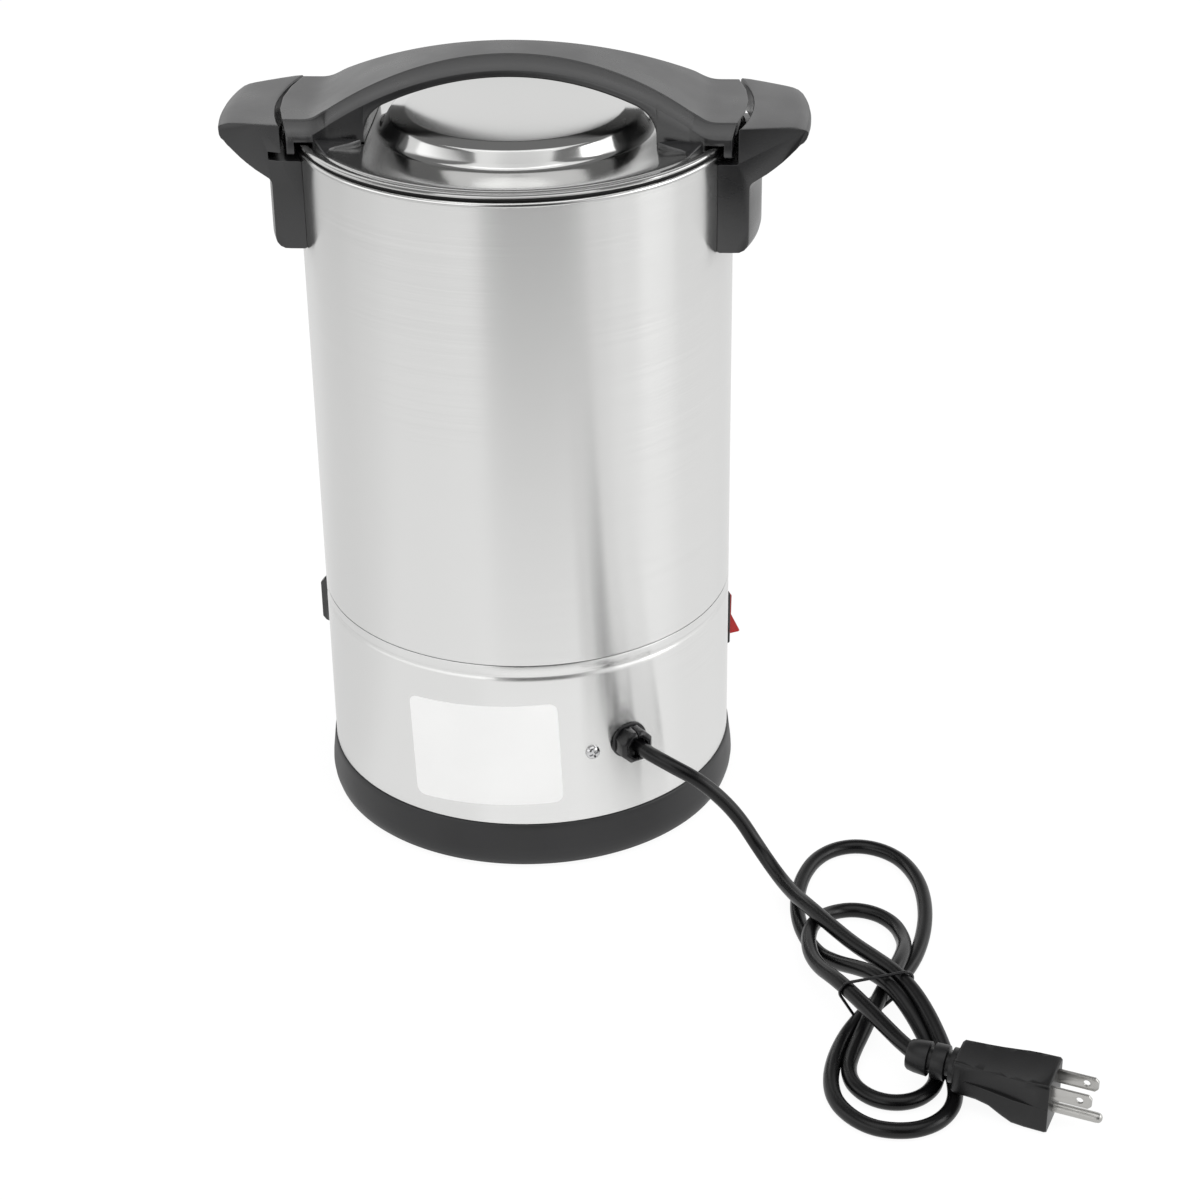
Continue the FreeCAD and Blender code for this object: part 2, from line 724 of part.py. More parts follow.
def make_switch_housing():
    """Snap-in rocker switch: bezel on the wall, a well with pivot holes, body and terminals behind."""
    body = new_body("switch_housing")
    half_width, half_length = size.switch_width / 2, size.switch_length / 2
    bezel = new_sketch(body, "XY_Plane")
    rectangle(bezel, -half_width, -half_length, half_width, half_length)
    pad(body, bezel, 3.4)
    block = new_sketch(body, "XY_Plane", offset=-18.0)
    rectangle(block, -10.8, -13.8, 10.8, 13.8)
    pad(body, block, 18.0)
    well = new_sketch(body, "XY_Plane", offset=3.4)
    rectangle(well, -9.2, -12.8, 9.2, 12.8)
    pocket(body, well, 9.6)
    pivot = new_sketch(body, "YZ_Plane")
    circle(pivot, 0, size.rocker_pivot, ROCKER_PIN + 0.05)
    pocket(body, pivot, 20.6, both_ways=True)
    for up in (-8.0, 0.0, 8.0):
        tab = new_sketch(body, "XY_Plane", offset=-27.0)
        rectangle(tab, -3.0, up - 0.45, 3.0, up + 0.45)
        pad(body, tab, 9.0)
    soften(body, "Fillet", 1.6, lambda e: is_upright(e, half_width.number, half_length.number))
    soften(body, "Fillet", 0.8, lambda e: bezel_rim(e, half_width.number, half_length.number))
    place_on_wall(body, size.switch_azimuth, size.switch_height, size.body_radius)
    return body


def bezel_rim(edge, half_width, half_length):
    """True for the outer edges of the bezel's front."""
    ends = [v.Point for v in edge.Vertexes]
    level = all(abs(p.z - 3.4) < 0.02 for p in ends)
    return level and all(abs(p.x) > half_width - 2.0 or abs(p.y) > half_length - 2.0 for p in ends)


ROCKER_TILT = -12.0
ROCKER_PIN = 1.2


def make_rocker():
    """Red rocker on two stub pins, with two finger faces, lying with its lower end out."""
    body = new_body("switch_rocker")
    half = size.rocker_half
    sketch = new_sketch(body, "YZ_Plane")
    outline(sketch, [
        (-3.4, -3.4), (3.4, -3.4), (half - 0.8, 0.2), (half, 6.0), (0, 3.2), (-half, 6.0), (0.8 - half, 0.2),
    ])
    pad(body, sketch, 18.0, both_ways=True)
    soften(body, "Fillet", 0.8, rocker_rim)
    pins = new_sketch(body, "YZ_Plane")
    circle(pins, 0, 0, ROCKER_PIN)
    pad(body, pins, 20.2, both_ways=True)
    place_on_wall(body, size.switch_azimuth, size.switch_height, size.body_radius + size.rocker_pivot)
    tilt = Rotation(Vector(1, 0, 0), ROCKER_TILT)
    placed = body.Placement
    body.Placement = Placement(placed.Base, placed.Rotation.multiply(tilt))
    doc.recompute()
    return body


def rocker_rim(edge):
    """The long outer edges of the rocker's two finger faces."""
    return all(abs(v.Point.z - 6.0) < 0.05 for v in edge.Vertexes)


def make_terminal_block():
    """Two-way connector on the shield, where the lead meets the inner wiring."""
    body = new_body("terminal_block")
    sketch = new_sketch(body, "XY_Plane", offset=0.0)
    rectangle(sketch, -14.0, -9.0, 14.0, 9.0)
    pad(body, sketch, 14.0)
    wires = new_sketch(body, "XZ_Plane")
    for across in (-7.0, 7.0):
        circle(wires, across, 6.0, 2.2)
    pocket(body, wires, 30.0, both_ways=True)
    screws = new_sketch(body, "XY_Plane", offset=14.0)
    for across in (-7.0, 7.0):
        circle(screws, across, 0, 2.0)
    pocket(body, screws, 6.0)
    body.Placement = Placement(Vector(-30.0, 62.0, 4.2), Rotation(Vector(0, 0, 1), 32.0))
    doc.recompute()
    return body


# ---------------------------------------------------------------- rear fittings

def make_rear_screw():
    """Pan-head screw through the wall with its nut inside."""
    body = new_body("rear_screw")
    sketch = new_sketch(body, "XZ_Plane")
    outline(sketch, [
        (0, -10.0), (2.0, -10.0), (2.0, -4.8), (3.6, -4.8), (3.6, -1.6), (2.0, -1.6), (2.0, 0),
        (3.6, 0), (3.5, 1.2), (2.4, 2.1), (0, 2.4),
    ])
    revolve(body, sketch)
    place_on_wall(body, size.screw_azimuth, size.screw_height, size.body_radius)
    return body


def make_rating_label():
    """Blank sticker with round corners, lying on the curve of the housing."""
    outer = doc.addObject("Part::Cylinder", "label_outer")
    inner = doc.addObject("Part::Cylinder", "label_inner")
    for drum, radius in ((outer, size.body_radius + size.label_thickness), (inner, size.body_radius)):
        bind_length(drum, "Radius", radius)
        bind_length(drum, "Height", size.seam_height)
    shell = doc.addObject("Part::Cut", "label_shell")
    shell.Base, shell.Tool = outer, inner
    block = doc.addObject("Part::Box", "label_block")
    bind_length(block, "Length", size.label_width)
    bind_length(block, "Height", size.label_tall)
    block.Width = 40.0
    doc.recompute()
    rounded = doc.addObject("Part::Fillet", "label_rounded")
    rounded.Base = block
    rounded.Edges = [(i, 4.5, 4.5) for i, e in enumerate(block.Shape.Edges, start=1) if runs_along_y(e)]
    facing = Rotation(Vector(0, 0, 1), size.label_azimuth.number)
    tilt = Rotation(Vector(0, 1, 0), size.label_tilt.number)
    turn = facing.multiply(tilt)
    centre = Vector(size.label_width.number / 2, 0, size.label_tall.number / 2)
    out = wall_point(size.label_azimuth.number, size.label_height.number, 85.0)
    rounded.Placement = Placement(out - turn.multVec(centre), turn)
    label = doc.addObject("Part::Common", "rating_label")
    label.Label = "rating_label"
    label.Base, label.Tool = shell, rounded
    doc.recompute()
    sub_parts.append(label)
    return label


def runs_along_y(edge):
    """True for a straight edge along Y."""
    span = edge.Vertexes[0].Point - edge.Vertexes[-1].Point
    return abs(span.y) > 1.0 and abs(span.x) + abs(span.z) < 0.01


def make_cord_gland():
    """Faceted strain relief: an eight-sided collar outside, a neck in the wall and a catch inside."""
    body = new_body("cord_gland")
    face = size.gland_radius * math.cos(math.radians(22.5))
    points = []
    for corner in range(8):
        angle = math.radians(22.5 + 45.0 * corner)
        points.append((size.gland_radius * math.cos(angle), size.gland_radius * math.sin(angle)))
    collar = new_sketch(body, "XY_Plane")
    outline(collar, points)
    pad(body, collar, size.gland_length)
    neck = new_sketch(body, "XY_Plane")
    circle(neck, 0, 0, 6.5)
    pad(body, neck, 3.0, backwards=True)
    catch = new_sketch(body, "XY_Plane", offset=-1.6)
    circle(catch, 0, 0, 7.6)
    pad(body, catch, 4.0, backwards=True)
    bore = new_sketch(body, "XY_Plane", offset=0.0)
    circle(bore, 0, 0, size.lead_radius)
    pocket(body, bore, 60.0, both_ways=True)
    soften(body, "Chamfer", 1.6, lambda e: outer_rim(e, size.gland_length.number, face.number))
    place_on_wall(body, size.gland_azimuth, size.gland_height, size.body_radius)
    return body


def outer_rim(edge, height, least):
    """True for an edge of the collar's outer end that isn't the bore's."""
    ends = [v.Point for v in edge.Vertexes]
    level = all(abs(p.z - height) < 0.02 for p in ends)
    return level and min(math.hypot(p.x, p.y) for p in ends) > least - 0.1


# ---------------------------------------------------------------- lid

def make_lid_gasket():
    """Silicone ring between the pot's rim and the lid's raised edge."""
    return turned_profile("lid_gasket", [
        (101.2, size.rim_height),
        (size.lid_edge_radius - 0.9, size.rim_height),
        (size.lid_edge_radius - 0.9, size.gasket_height),
        (102.4, size.gasket_height),
    ])


def make_lid_cover():
    """Spun lid: a raised edge over the gasket, a flat ring, a steep riser and a flat crown."""
    edge = size.lid_edge_radius
    thin = size.skin
    flat = size.lid_flat_height
    body = turned_profile("lid_cover", [
        (0, size.plateau_height + 0.2),
        (size.plateau_radius, size.plateau_height, -60.0),
        (size.shoulder_radius, size.shoulder_height),
        (size.riser_radius - 0.6, flat + 0.9),
        (size.riser_radius + 0.4, flat),
        (size.lid_flat_radius, flat),
        (size.lid_flat_radius + 1.4, size.lid_edge_top - 0.2),
        (size.lid_flat_radius + 2.2, size.lid_edge_top),
        (edge - 0.7, size.lid_edge_top),
        (edge, size.lid_edge_top - 0.7),
        (edge, size.lid_edge_low),
        (edge - thin, size.lid_edge_low),
        (edge - thin, size.gasket_height),
        (size.lid_flat_radius + 2.2, size.gasket_height),
        (size.lid_flat_radius + 0.9, flat - thin),
        (size.riser_radius - 0.2, flat - thin),
        (size.riser_radius - 1.4, flat + 0.6),
        (size.shoulder_radius - 0.6, size.shoulder_height - thin, 60.0),
        (size.plateau_radius - 0.1, size.plateau_height - thin),
        (0, size.plateau_height + 0.2 - thin),
    ])
    holes = new_sketch(body, "XY_Plane")
    for across, along in lid_screw_places():
        circle(holes, across, along, 2.1)
    pocket(body, holes, 800.0, both_ways=True)
    return body


LID_SCREW_ACROSS = 80.0
LID_SCREW_ALONG = 16.0


def lid_screw_places():
    """The four screws that hold the handle's legs."""
    return [(x * LID_SCREW_ACROSS, y * LID_SCREW_ALONG) for x in (-1, 1) for y in (-1, 1)]


def make_lid_inner_ring():
    """Welded ring under the lid that centres it in the pot."""
    return turned_profile("lid_inner_ring", [
        (size.lid_ring_radius - size.skin, size.lid_ring_low),
        (size.lid_ring_radius, size.lid_ring_low),
        (size.lid_ring_radius, size.lid_flat_height - size.skin),
        (size.lid_ring_radius - size.skin, size.lid_flat_height - size.skin),
    ])


def make_lid_handle():
    """Moulded arch across the lid: waisted, bevelled and hollow below, with a lip over each end."""
    body = new_body("lid_handle")
    foot = size.lid_flat_height
    end = size.arch_end_radius
    half = size.arch_end_width
    shoulder = 89.0
    reach = math.sqrt(end.number ** 2 - half.number ** 2)
    plan = new_sketch(body, "XY_Plane", offset=size.lip_low)
    waist = size.arch_waist_radius
    outline(plan, [
        (reach, -half, end), (reach, half), (shoulder, half, -waist), (-shoulder, half),
        (-reach, half, end), (-reach, -half), (-shoulder, -half, -waist), (shoulder, -half),
    ])
    pad(body, plan, size.arch_top - size.lip_low)
    soften(body, "Fillet", 12.0, lambda e: is_upright_at(e, shoulder, half.number))
    cut_above_arch(body)
    soften(body, "Chamfer", size.arch_bevel, arch_top_edge)
    cut_below_arch(body, foot)
    cut_over_rim(body, foot)
    add_rim_pads(body)
    for across, along in lid_screw_places():
        hole = new_sketch(body, "XY_Plane", offset=foot)
        circle(hole, across, along, 1.6)
        pocket(body, hole, 8.0, backwards=True)
    return body


ARCH_LEAD_IN = 22.0


def arch_height(across, drop=0.0):
    """Height of the arch's top, or of a curve this far below it."""
    radius = size.arch_radius.number - drop
    centre = size.arch_top.number - size.arch_radius.number
    return centre + math.sqrt(radius ** 2 - across ** 2)


def cut_above_arch(body):
    """Take away what lies over the arch's curve and the two end platforms."""
    sketch = new_sketch(body, "XZ_Plane")
    level = size.platform_height
    centre = size.arch_top - size.arch_radius
    cosine = (level - centre + ARCH_LEAD_IN) / (size.arch_radius + ARCH_LEAD_IN)
    sine = (1.0 - cosine * cosine).root()
    inner = size.arch_radius * sine
    outer = (size.arch_radius + ARCH_LEAD_IN) * sine
    side = centre + size.arch_radius * cosine
    roof = size.arch_top + 20.0
    outline(sketch, [
        (-130.0, level), (-outer, level, ARCH_LEAD_IN), (-inner, side, -size.arch_radius),
        (inner, side, ARCH_LEAD_IN), (outer, level), (130.0, level), (130.0, roof), (-130.0, roof),
    ])
    pocket(body, sketch, 200.0, both_ways=True)


def arch_top_edge(edge):
    """True for the edges where the arch's top meets its two long sides."""
    box = edge.BoundBox
    if box.ZLength < 0.01 and abs(box.ZMin - size.platform_height.number) > 0.1:
        return False
    if box.ZMin < size.platform_height.number - 0.1:
        return False
    middle = middle_of(edge)
    side = abs(middle.y) > size.arch_half_width.number - 1.0
    across_end = abs(edge.Vertexes[0].Point.y - edge.Vertexes[-1].Point.y) > 30.0
    return side and not across_end and box.XLength > 1.0


def cut_below_arch(body, foot):
    """Open the grip under the arch between the two legs, with rounded inner corners."""
    sketch = new_sketch(body, "XZ_Plane")
    drop = size.arch_depth.number
    leg = size.leg_inside
    corner_x = leg.number - 10.0
    corner_z = arch_height(corner_x, drop)
    low = size.lip_low - 5.0
    bend = corner_z - 15.0
    outline(sketch, [
        (-leg, low), (leg, low), (leg, bend, size.leg_corner + 1.5),
        (corner_x, corner_z, size.arch_radius - drop), (-corner_x, corner_z, size.leg_corner + 1.5),
        (-leg, bend),
    ])
    pocket(body, sketch, 200.0, both_ways=True)


def cut_over_rim(body, foot):
    """Step the ends over the lid's raised edge, which leaves a lip outside it."""
    sketch = new_sketch(body, "XZ_Plane")
    inside = size.lid_flat_radius - 0.4
    clear = size.lid_edge_top + 0.3
    floor = size.lip_low - 4.0
    outline(sketch, [
        (0, floor), (size.lip_inside, floor), (size.lip_inside, clear), (inside, clear),
        (inside, foot), (0, foot),
    ])
    groove(body, sketch)


RIM_PAD_INSIDE = 85.0
RIM_PAD_HEIGHT = 4.2


def add_rim_pads(body):
    """Low pads that spread each end of the arch along the lid's raised edge."""
    outside = size.lid_flat_radius.number - 0.4
    reach = 47.0
    for side in (-1, 1):
        sketch = new_sketch(body, "XY_Plane", offset=size.lid_flat_height)
        far = math.sqrt(outside ** 2 - reach ** 2)
        corners = [(RIM_PAD_INSIDE - 4.0, -36.0), (far - 0.5, -reach), (far, -reach, outside),
                   (far, reach), (far - 0.5, reach), (RIM_PAD_INSIDE - 4.0, 36.0)]
        if side < 0:
            corners = [(-c[0], -c[1]) + c[2:] for c in corners]
        outline(sketch, corners)
        pad(body, sketch, RIM_PAD_HEIGHT)


def make_lid_screws():
    """Pan-head screws up through the lid into the handle's legs."""
    body = new_body("lid_handle_screws")
    under = size.lid_flat_height - size.skin
    turned = []
    for along in (-LID_SCREW_ALONG, LID_SCREW_ALONG):
        sketch = new_sketch(body, "XZ_Plane", across=LID_SCREW_ACROSS, offset=-along)
        outline(sketch, [
            (0, under - 2.0), (2.6, under - 2.0), (3.6, under - 1.0), (3.6, under),
            (1.6, under), (1.6, under + 8.0), (0, under + 8.6),
        ])
        turned.append(revolve(body, sketch, role="V_Axis"))
    pattern(body, turned, 2)
    return body


# ---------------------------------------------------------------- side handles

def make_side_handle(label, turn):
    """Moulded side handle: a curved bracket on the jacket, a ledge and a wing with a lock slot."""
    body = new_body(label)
    section = new_sketch(body, "XZ_Plane")
    outline(section, [
        (size.body_radius, size.bracket_low),
        (size.bracket_radius - 4.5, size.bracket_low + 0.5, 5.5),
        (size.bracket_radius, size.bracket_low + 5.5),
        (size.bracket_radius, 342.5, -60.0),
        (129.5, 349.2, -90.0),
        (size.wing_radius - 1.5, size.wing_tip_low, 2.5),
        (size.wing_radius, size.wing_tip_low + 1.8),
        (size.wing_radius, size.wing_tip_high, 3.2),
        (size.wing_radius - 2.6, size.wing_top_outside - 0.2),
        (size.wing_inside, size.wing_top_inside),
        (size.wing_inside, size.ledge_height),
        (size.body_radius, size.ledge_height),
    ])
    revolve(body, section, 64.0, both_ways=True)
    trim_wing_plan(body)
    cut_lock_slot(body)
    bore_handle(body)
    body.Placement = Placement(Vector(0, 0, 0), Rotation(Vector(0, 0, 1), turn))
    doc.recompute()
    return body


def trim_wing_plan(body):
    """Cut the near and far sides flat beside the pot, then in towards the rounded tip."""
    tip = size.wing_tip_half_width
    half = size.bracket_half_width
    for side in (-1, 1):
        sketch = new_sketch(body, "XY_Plane")
        corners = [(60.0, side * half), (size.wing_inside + 2.0, side * half),
                   (size.wing_radius - 4.0, side * tip), (size.wing_radius - 1.0, side * (tip - 6.0)),
                   (160.0, side * (tip - 24.0)), (160.0, side * 120.0), (60.0, side * 120.0)]
        if side < 0:
            corners.reverse()
        outline(sketch, corners)
        pocket(body, sketch, 900.0, both_ways=True)
    soften(body, "Fillet", 5.0, wing_corner)


def wing_corner(edge):
    """True for the upright edges at the wing's outer corners."""
    box = edge.BoundBox
    upright = box.ZLength > 2.0 and box.XLength < 0.5 and box.YLength < 0.5
    return upright and box.XMin > size.wing_radius.number - 6.0


def cut_lock_slot(body):
    """The undercut that the lid's end turns out of: open on one side, closed on the other."""
    sketch = new_sketch(body, "XZ_Plane")
    rectangle(sketch, size.wing_inside - 4.0, size.ledge_height,
              size.wing_inside + size.slot_depth, size.slot_top)
    before = body.Shape.Volume
    feature = body.newObject("PartDesign::Groove", "groove")
    feature.Profile = sketch
    feature.ReferenceAxis = (origin_feature(body, "Z_Axis"), [""])
    feature.Angle = 40.0
    feature.Reversed = False
    doc.recompute()
    if body.Shape.Volume > before - 0.01:
        raise RuntimeError("a lock slot cut nothing")


def bore_handle(body):
    """Blind holes for the two screws that come from inside the jacket."""
    for height in HANDLE_SCREW_HEIGHTS:
        sketch = new_sketch(body, "YZ_Plane", offset=size.body_radius - 1.0)
        circle(sketch, 0, height, 1.6)
        pocket(body, sketch, 10.0, backwards=True)


def make_handle_plates():
    """Curved backing plates inside the jacket, one behind each side handle."""
    body = new_body("side_handle_plates")
    sketch = new_sketch(body, "XZ_Plane")
    inside = size.body_radius - size.skin
    rectangle(sketch, inside - 1.2, 311.0, inside, 349.0)
    pattern(body, [revolve(body, sketch, 24.0, both_ways=True)], 2)
    for height in HANDLE_SCREW_HEIGHTS:
        hole = new_sketch(body, "YZ_Plane")
        circle(hole, 0, height, 1.6)
        pocket(body, hole, 260.0, both_ways=True)
    return body


def make_handle_screws():
    """Screws from inside the jacket into the side handles, two a side."""
    body = new_body("side_handle_screws")
    face = size.body_radius - size.skin - 1.26
    screws = []
    for height in HANDLE_SCREW_HEIGHTS:
        head = new_sketch(body, "YZ_Plane", offset=face)
        circle(head, 0, height, 3.4)
        screws.append(pad(body, head, 1.9, backwards=True))
        shank = new_sketch(body, "YZ_Plane", offset=face)
        circle(shank, 0, height, 1.6)
        screws.append(pad(body, shank, 9.5))
    pattern(body, screws, 2)
    return body


# ---------------------------------------------------------------- tap

def make_tap_body():
    """Cast tap: shank through both walls, a plug barrel and a spout turned down."""
    body = new_body("tap_body")
    height = size.tap_height
    shank = new_sketch(body, "XZ_Plane", offset=TAP_INNER_END)
    circle(shank, 0, height, size.tap_shank_radius)
    pad(body, shank, size.tap_reach - TAP_INNER_END)
    flange = new_sketch(body, "XZ_Plane", offset=size.body_radius + 2.2)
    outline(flange, hexagon(height, 15.0))
    pad(body, flange, 6.0)
    barrel = new_sketch(body, "XY_Plane", offset=height - 14.0)
    circle(barrel, 0, -size.tap_reach, size.tap_barrel_radius)
    pad(body, barrel, 28.0)
    branch = new_sketch(body, "XZ_Plane", offset=size.tap_reach)
    circle(branch, 0, height, size.spout_radius)
    pad(body, branch, size.spout_reach - size.tap_reach)
    spout = new_sketch(body, "XY_Plane", offset=size.spout_low)
    circle(spout, 0, -size.spout_reach, size.spout_radius)
    pad(body, spout, height - size.spout_low)
    add_elbow(body)
    flow = new_sketch(body, "XZ_Plane", offset=TAP_INNER_END)
    circle(flow, 0, height, size.tap_bore_radius)
    pocket(body, flow, size.spout_reach - TAP_INNER_END, backwards=True)
    outlet = new_sketch(body, "XY_Plane", offset=size.spout_low)
    circle(outlet, 0, -size.spout_reach, size.tap_bore_radius)
    pocket(body, outlet, height - size.spout_low, backwards=True)
    seat = new_sketch(body, "XY_Plane")
    circle(seat, 0, -size.tap_reach, size.plug_cock_radius + size.plug_cock_clearance)
    pocket(body, seat, 900.0, both_ways=True)
    return body


TAP_INNER_END = 90.0


def add_elbow(body):
    """The ball that rounds the bend of the spout."""
    ball = body.newObject("PartDesign::AdditiveSphere", "elbow")
    ball.AttachmentSupport = [(origin_feature(body, "XY_Plane"), "")]
    ball.MapMode = "FlatFace"
    ball.AttachmentOffset = Placement(
        Vector(0, -size.spout_reach.number, size.tap_height.number), Rotation())
    ball.setExpression("AttachmentOffset.Base.y", "-sizes.spout_reach * 1 mm")
    ball.setExpression("AttachmentOffset.Base.z", "sizes.tap_height * 1 mm")
    bind_length(ball, "Radius", size.spout_radius)
    doc.recompute()


def hexagon(height, across_corners):
    """Corners of a hexagon that stands on the tap's axis."""
    points = []
    for corner in range(6):
        angle = math.radians(60.0 * corner)
        points.append((across_corners * math.cos(angle), height + across_corners * math.sin(angle)))
    return points


def ring_on_tap(label, outside, start, length, side=0):
    """A washer or nut on the tap's shank, its face on a wall following the wall's curve.

    start is its distance from the pot's axis; side is 1 against the jacket, -1 against the pot's inside.
    """
    body = new_body(label)
    sketch = new_sketch(body, "XZ_Plane", offset=start)
    if label.endswith("nut"):
        outline(sketch, hexagon(size.tap_height, outside))
    else:
        circle(sketch, 0, size.tap_height, outside)
    circle(sketch, 0, size.tap_height, size.tap_shank_radius)
    pad(body, sketch, length)
    if side:
        wall = new_sketch(body, "XZ_Plane")
        near, far = (80.0, size.body_radius) if side > 0 else (size.pot_radius, 120.0)
        rectangle(wall, near, size.tap_height - 20.0, far, size.tap_height + 20.0)
        groove(body, wall)
    return body


def make_tap_plug():
    """Turning plug with a cross bore, a square for the lever and a stem below for its washer."""
    body = new_body("tap_plug")
    height = size.tap_height
    radius = size.plug_cock_radius
    sketch = new_sketch(body, "XZ_Plane")
    outline(sketch, [
        (0, height - 18.0), (3.0, height - 18.0), (3.0, height - 14.3), (radius, height - 14.3),
        (radius, height + 15.0), (5.2, height + 15.0), (5.2, height + 21.0), (0, height + 21.0),
    ])
    revolve(body, sketch)
    bore = new_sketch(body, "YZ_Plane")
    circle(bore, 0, height, size.tap_bore_radius)
    pocket(body, bore, 60.0, both_ways=True)
    flats = new_sketch(body, "XY_Plane", offset=height + 21.0)
    for low, high in ((-9.0, -4.2), (4.2, 9.0)):
        rectangle(flats, low, -9.0, high, 9.0)
    pocket(body, flats, 6.0)
    body.Placement = Placement(Vector(0, -size.tap_reach.number, 0), Rotation())
    doc.recompute()
    return body


def make_tap_retainer():
    """Spring washer and nut under the plug, which keep it in its seat."""
    height = size.tap_height.number
    body = disc_stack("tap_retainer", [
        (9.6, height - 15.6, height - 14.3), (5.6, height - 19.0, height - 15.6),
    ])
    hole = new_sketch(body, "XY_Plane")
    circle(hole, 0, 0, 3.0)
    pocket(body, hole, 900.0, both_ways=True)
    body.Placement = Placement(Vector(0, -size.tap_reach.number, 0), Rotation())
    doc.recompute()
    return body


def make_tap_lever():
    """Lever on the plug's flats: a round hub and a cranked, tapered arm."""
    body = new_body("tap_lever")
    low = size.tap_height + 15.2
    hub = new_sketch(body, "XY_Plane", offset=low)
    circle(hub, 0, 0, 10.5)
    pad(body, hub, 7.0)
    arm = new_sketch(body, "XZ_Plane")
    length = size.lever_length
    outline(arm, [
        (0, low + 2.0), (14.0, low + 2.0), (24.0, low + 7.5), (length, low + 7.5),
        (length, low + 11.5), (22.0, low + 11.5), (12.0, low + 7.0), (0, low + 7.0),
    ])
    pad(body, arm, 12.0, both_ways=True)
    hole = new_sketch(body, "XY_Plane", offset=low - 1.0)
    corner = math.sqrt(5.22 ** 2 - 4.2 ** 2)
    outline(hole, [(-4.2, -corner, 5.22), (4.2, -corner), (4.2, corner, 5.22), (-4.2, corner)])
    pocket(body, hole, 7.0, backwards=True)
    screw = new_sketch(body, "XY_Plane")
    circle(screw, 0, 0, 2.0)
    pocket(body, screw, 900.0, both_ways=True)
    soften(body, "Fillet", 5.0, lambda e: lever_tip(e, length.number))
    body.Placement = Placement(Vector(0, -size.tap_reach.number, 0), Rotation(Vector(0, 0, 1), 180.0))
    doc.recompute()
    return body


def lever_tip(edge, length):
    """True for the two upright edges at the lever's free end."""
    box = edge.BoundBox
    return box.XMin > length - 0.02 and box.ZLength > 3.0 and box.YLength < 0.02


def make_lever_screw():
    """Screw that holds the lever on the plug."""
    top = size.tap_height.number + 22.2
    body = disc_stack("tap_lever_screw", [(3.8, top, top + 2.4), (2.0, top - 1.2, top)])
    body.Placement = Placement(Vector(0, -size.tap_reach.number, 0), Rotation())
    doc.recompute()
    return body


# ---------------------------------------------------------------- mains lead

def rounded_path(points):
    """Straight runs joined by tangent arcs, as one wire, with the arcs' radii."""
    corners = [Vector(*p) for p in points]
    edges, radii, start = [], [], corners[0]
    for before, corner, after in zip(corners, corners[1:], corners[2:]):
        back, on = (before - corner), (after - corner)
        half_turn = (math.pi - back.getAngle(on)) / 2.0
        trim = 0.45 * min(back.Length, on.Length)
        radii.append(trim / math.tan(half_turn))
        first = corner + back.normalize() * trim
        last = corner + on.normalize() * trim
        inward = (back + on).normalize()
        depth = trim / math.cos(math.pi / 2 - half_turn) - 0.0
        sagitta = radii[-1] / math.cos(half_turn) - radii[-1]
        middle = corner + inward * sagitta
        edges.append(Part.LineSegment(start, first).toShape())
        edges.append(Part.Arc(first, middle, last).toShape())
        start = last
    edges.append(Part.LineSegment(start, corners[-1]).toShape())
    return Part.Wire(edges), radii


def make_power_cord():
    """Round lead from the gland down to the floor and on to the hank."""
    wire, radii = rounded_path(LEAD_ROUTE + [HANK_ENTRY])
    print("lead arc radii:", [round(r, 1) for r in radii], "length", round(wire.Length, 1))
    radius = size.lead_radius.number
    start = Vector(*LEAD_ROUTE[0])
    heading = Vector(*LEAD_ROUTE[1]) - start
    ring = Part.Wire(Part.makeCircle(radius, start, heading))
    tube = wire.makePipeShell([ring], True, True)
    expected = math.pi * radius ** 2 * wire.Length
    print("lead volume ratio:", round(tube.Volume / expected, 4))
    return code_part("power_cord", tube)


def code_part(label, shape):
    """A node whose shape is worked out in code."""
    feature = doc.addObject("Part::Feature", label)
    feature.Label = label
    feature.Shape = shape
    sub_parts.append(feature)
    return feature


def make_cord_hank():
    """The tied bundle as one closed solid: low loops and a higher waist."""
    body = new_body("cord_hank")
    loops = new_sketch(body, "XY_Plane")
    outline(loops, HANK_OUTLINE)
    pad(body, loops, HANK_LOOP_HEIGHT)
    low, high = HANK_WAIST_RANGE
    waist = new_sketch(body, "XY_Plane")
    outline(waist, [(-153.0, low), (-163.0, high), (-197.0, high - 8.0), (-198.0, 214.0), (-192.0, low)])
    waist_pad = pad(body, waist, HANK_WAIST_HEIGHT)
    return body


def make_cord_tie():
    """Thin wire tie round the bundle's waist."""
    body = new_body("cord_tie")
    sketch = new_sketch(body, "YZ_Plane")
    band_low, band_high = 222.0, 225.0
    outline(sketch, [(band_low, HANK_WAIST_HEIGHT), (band_high, HANK_WAIST_HEIGHT),
                     (band_high, HANK_WAIST_HEIGHT + 1.6), (band_low, HANK_WAIST_HEIGHT + 1.6)])
    feature = pad(body, sketch, 22.0, both_ways=True)
    body.Placement = Placement(Vector(-177.0, 0, 0), Rotation())
    doc.recompute()
    return body


def plug_place():
    """The plug's frame: its own +X the way the blades point, its own Z up."""
    return Placement(Vector(PLUG_FACE[0], PLUG_FACE[1], 0), Rotation(Vector(0, 0, 1), PLUG_HEADING))


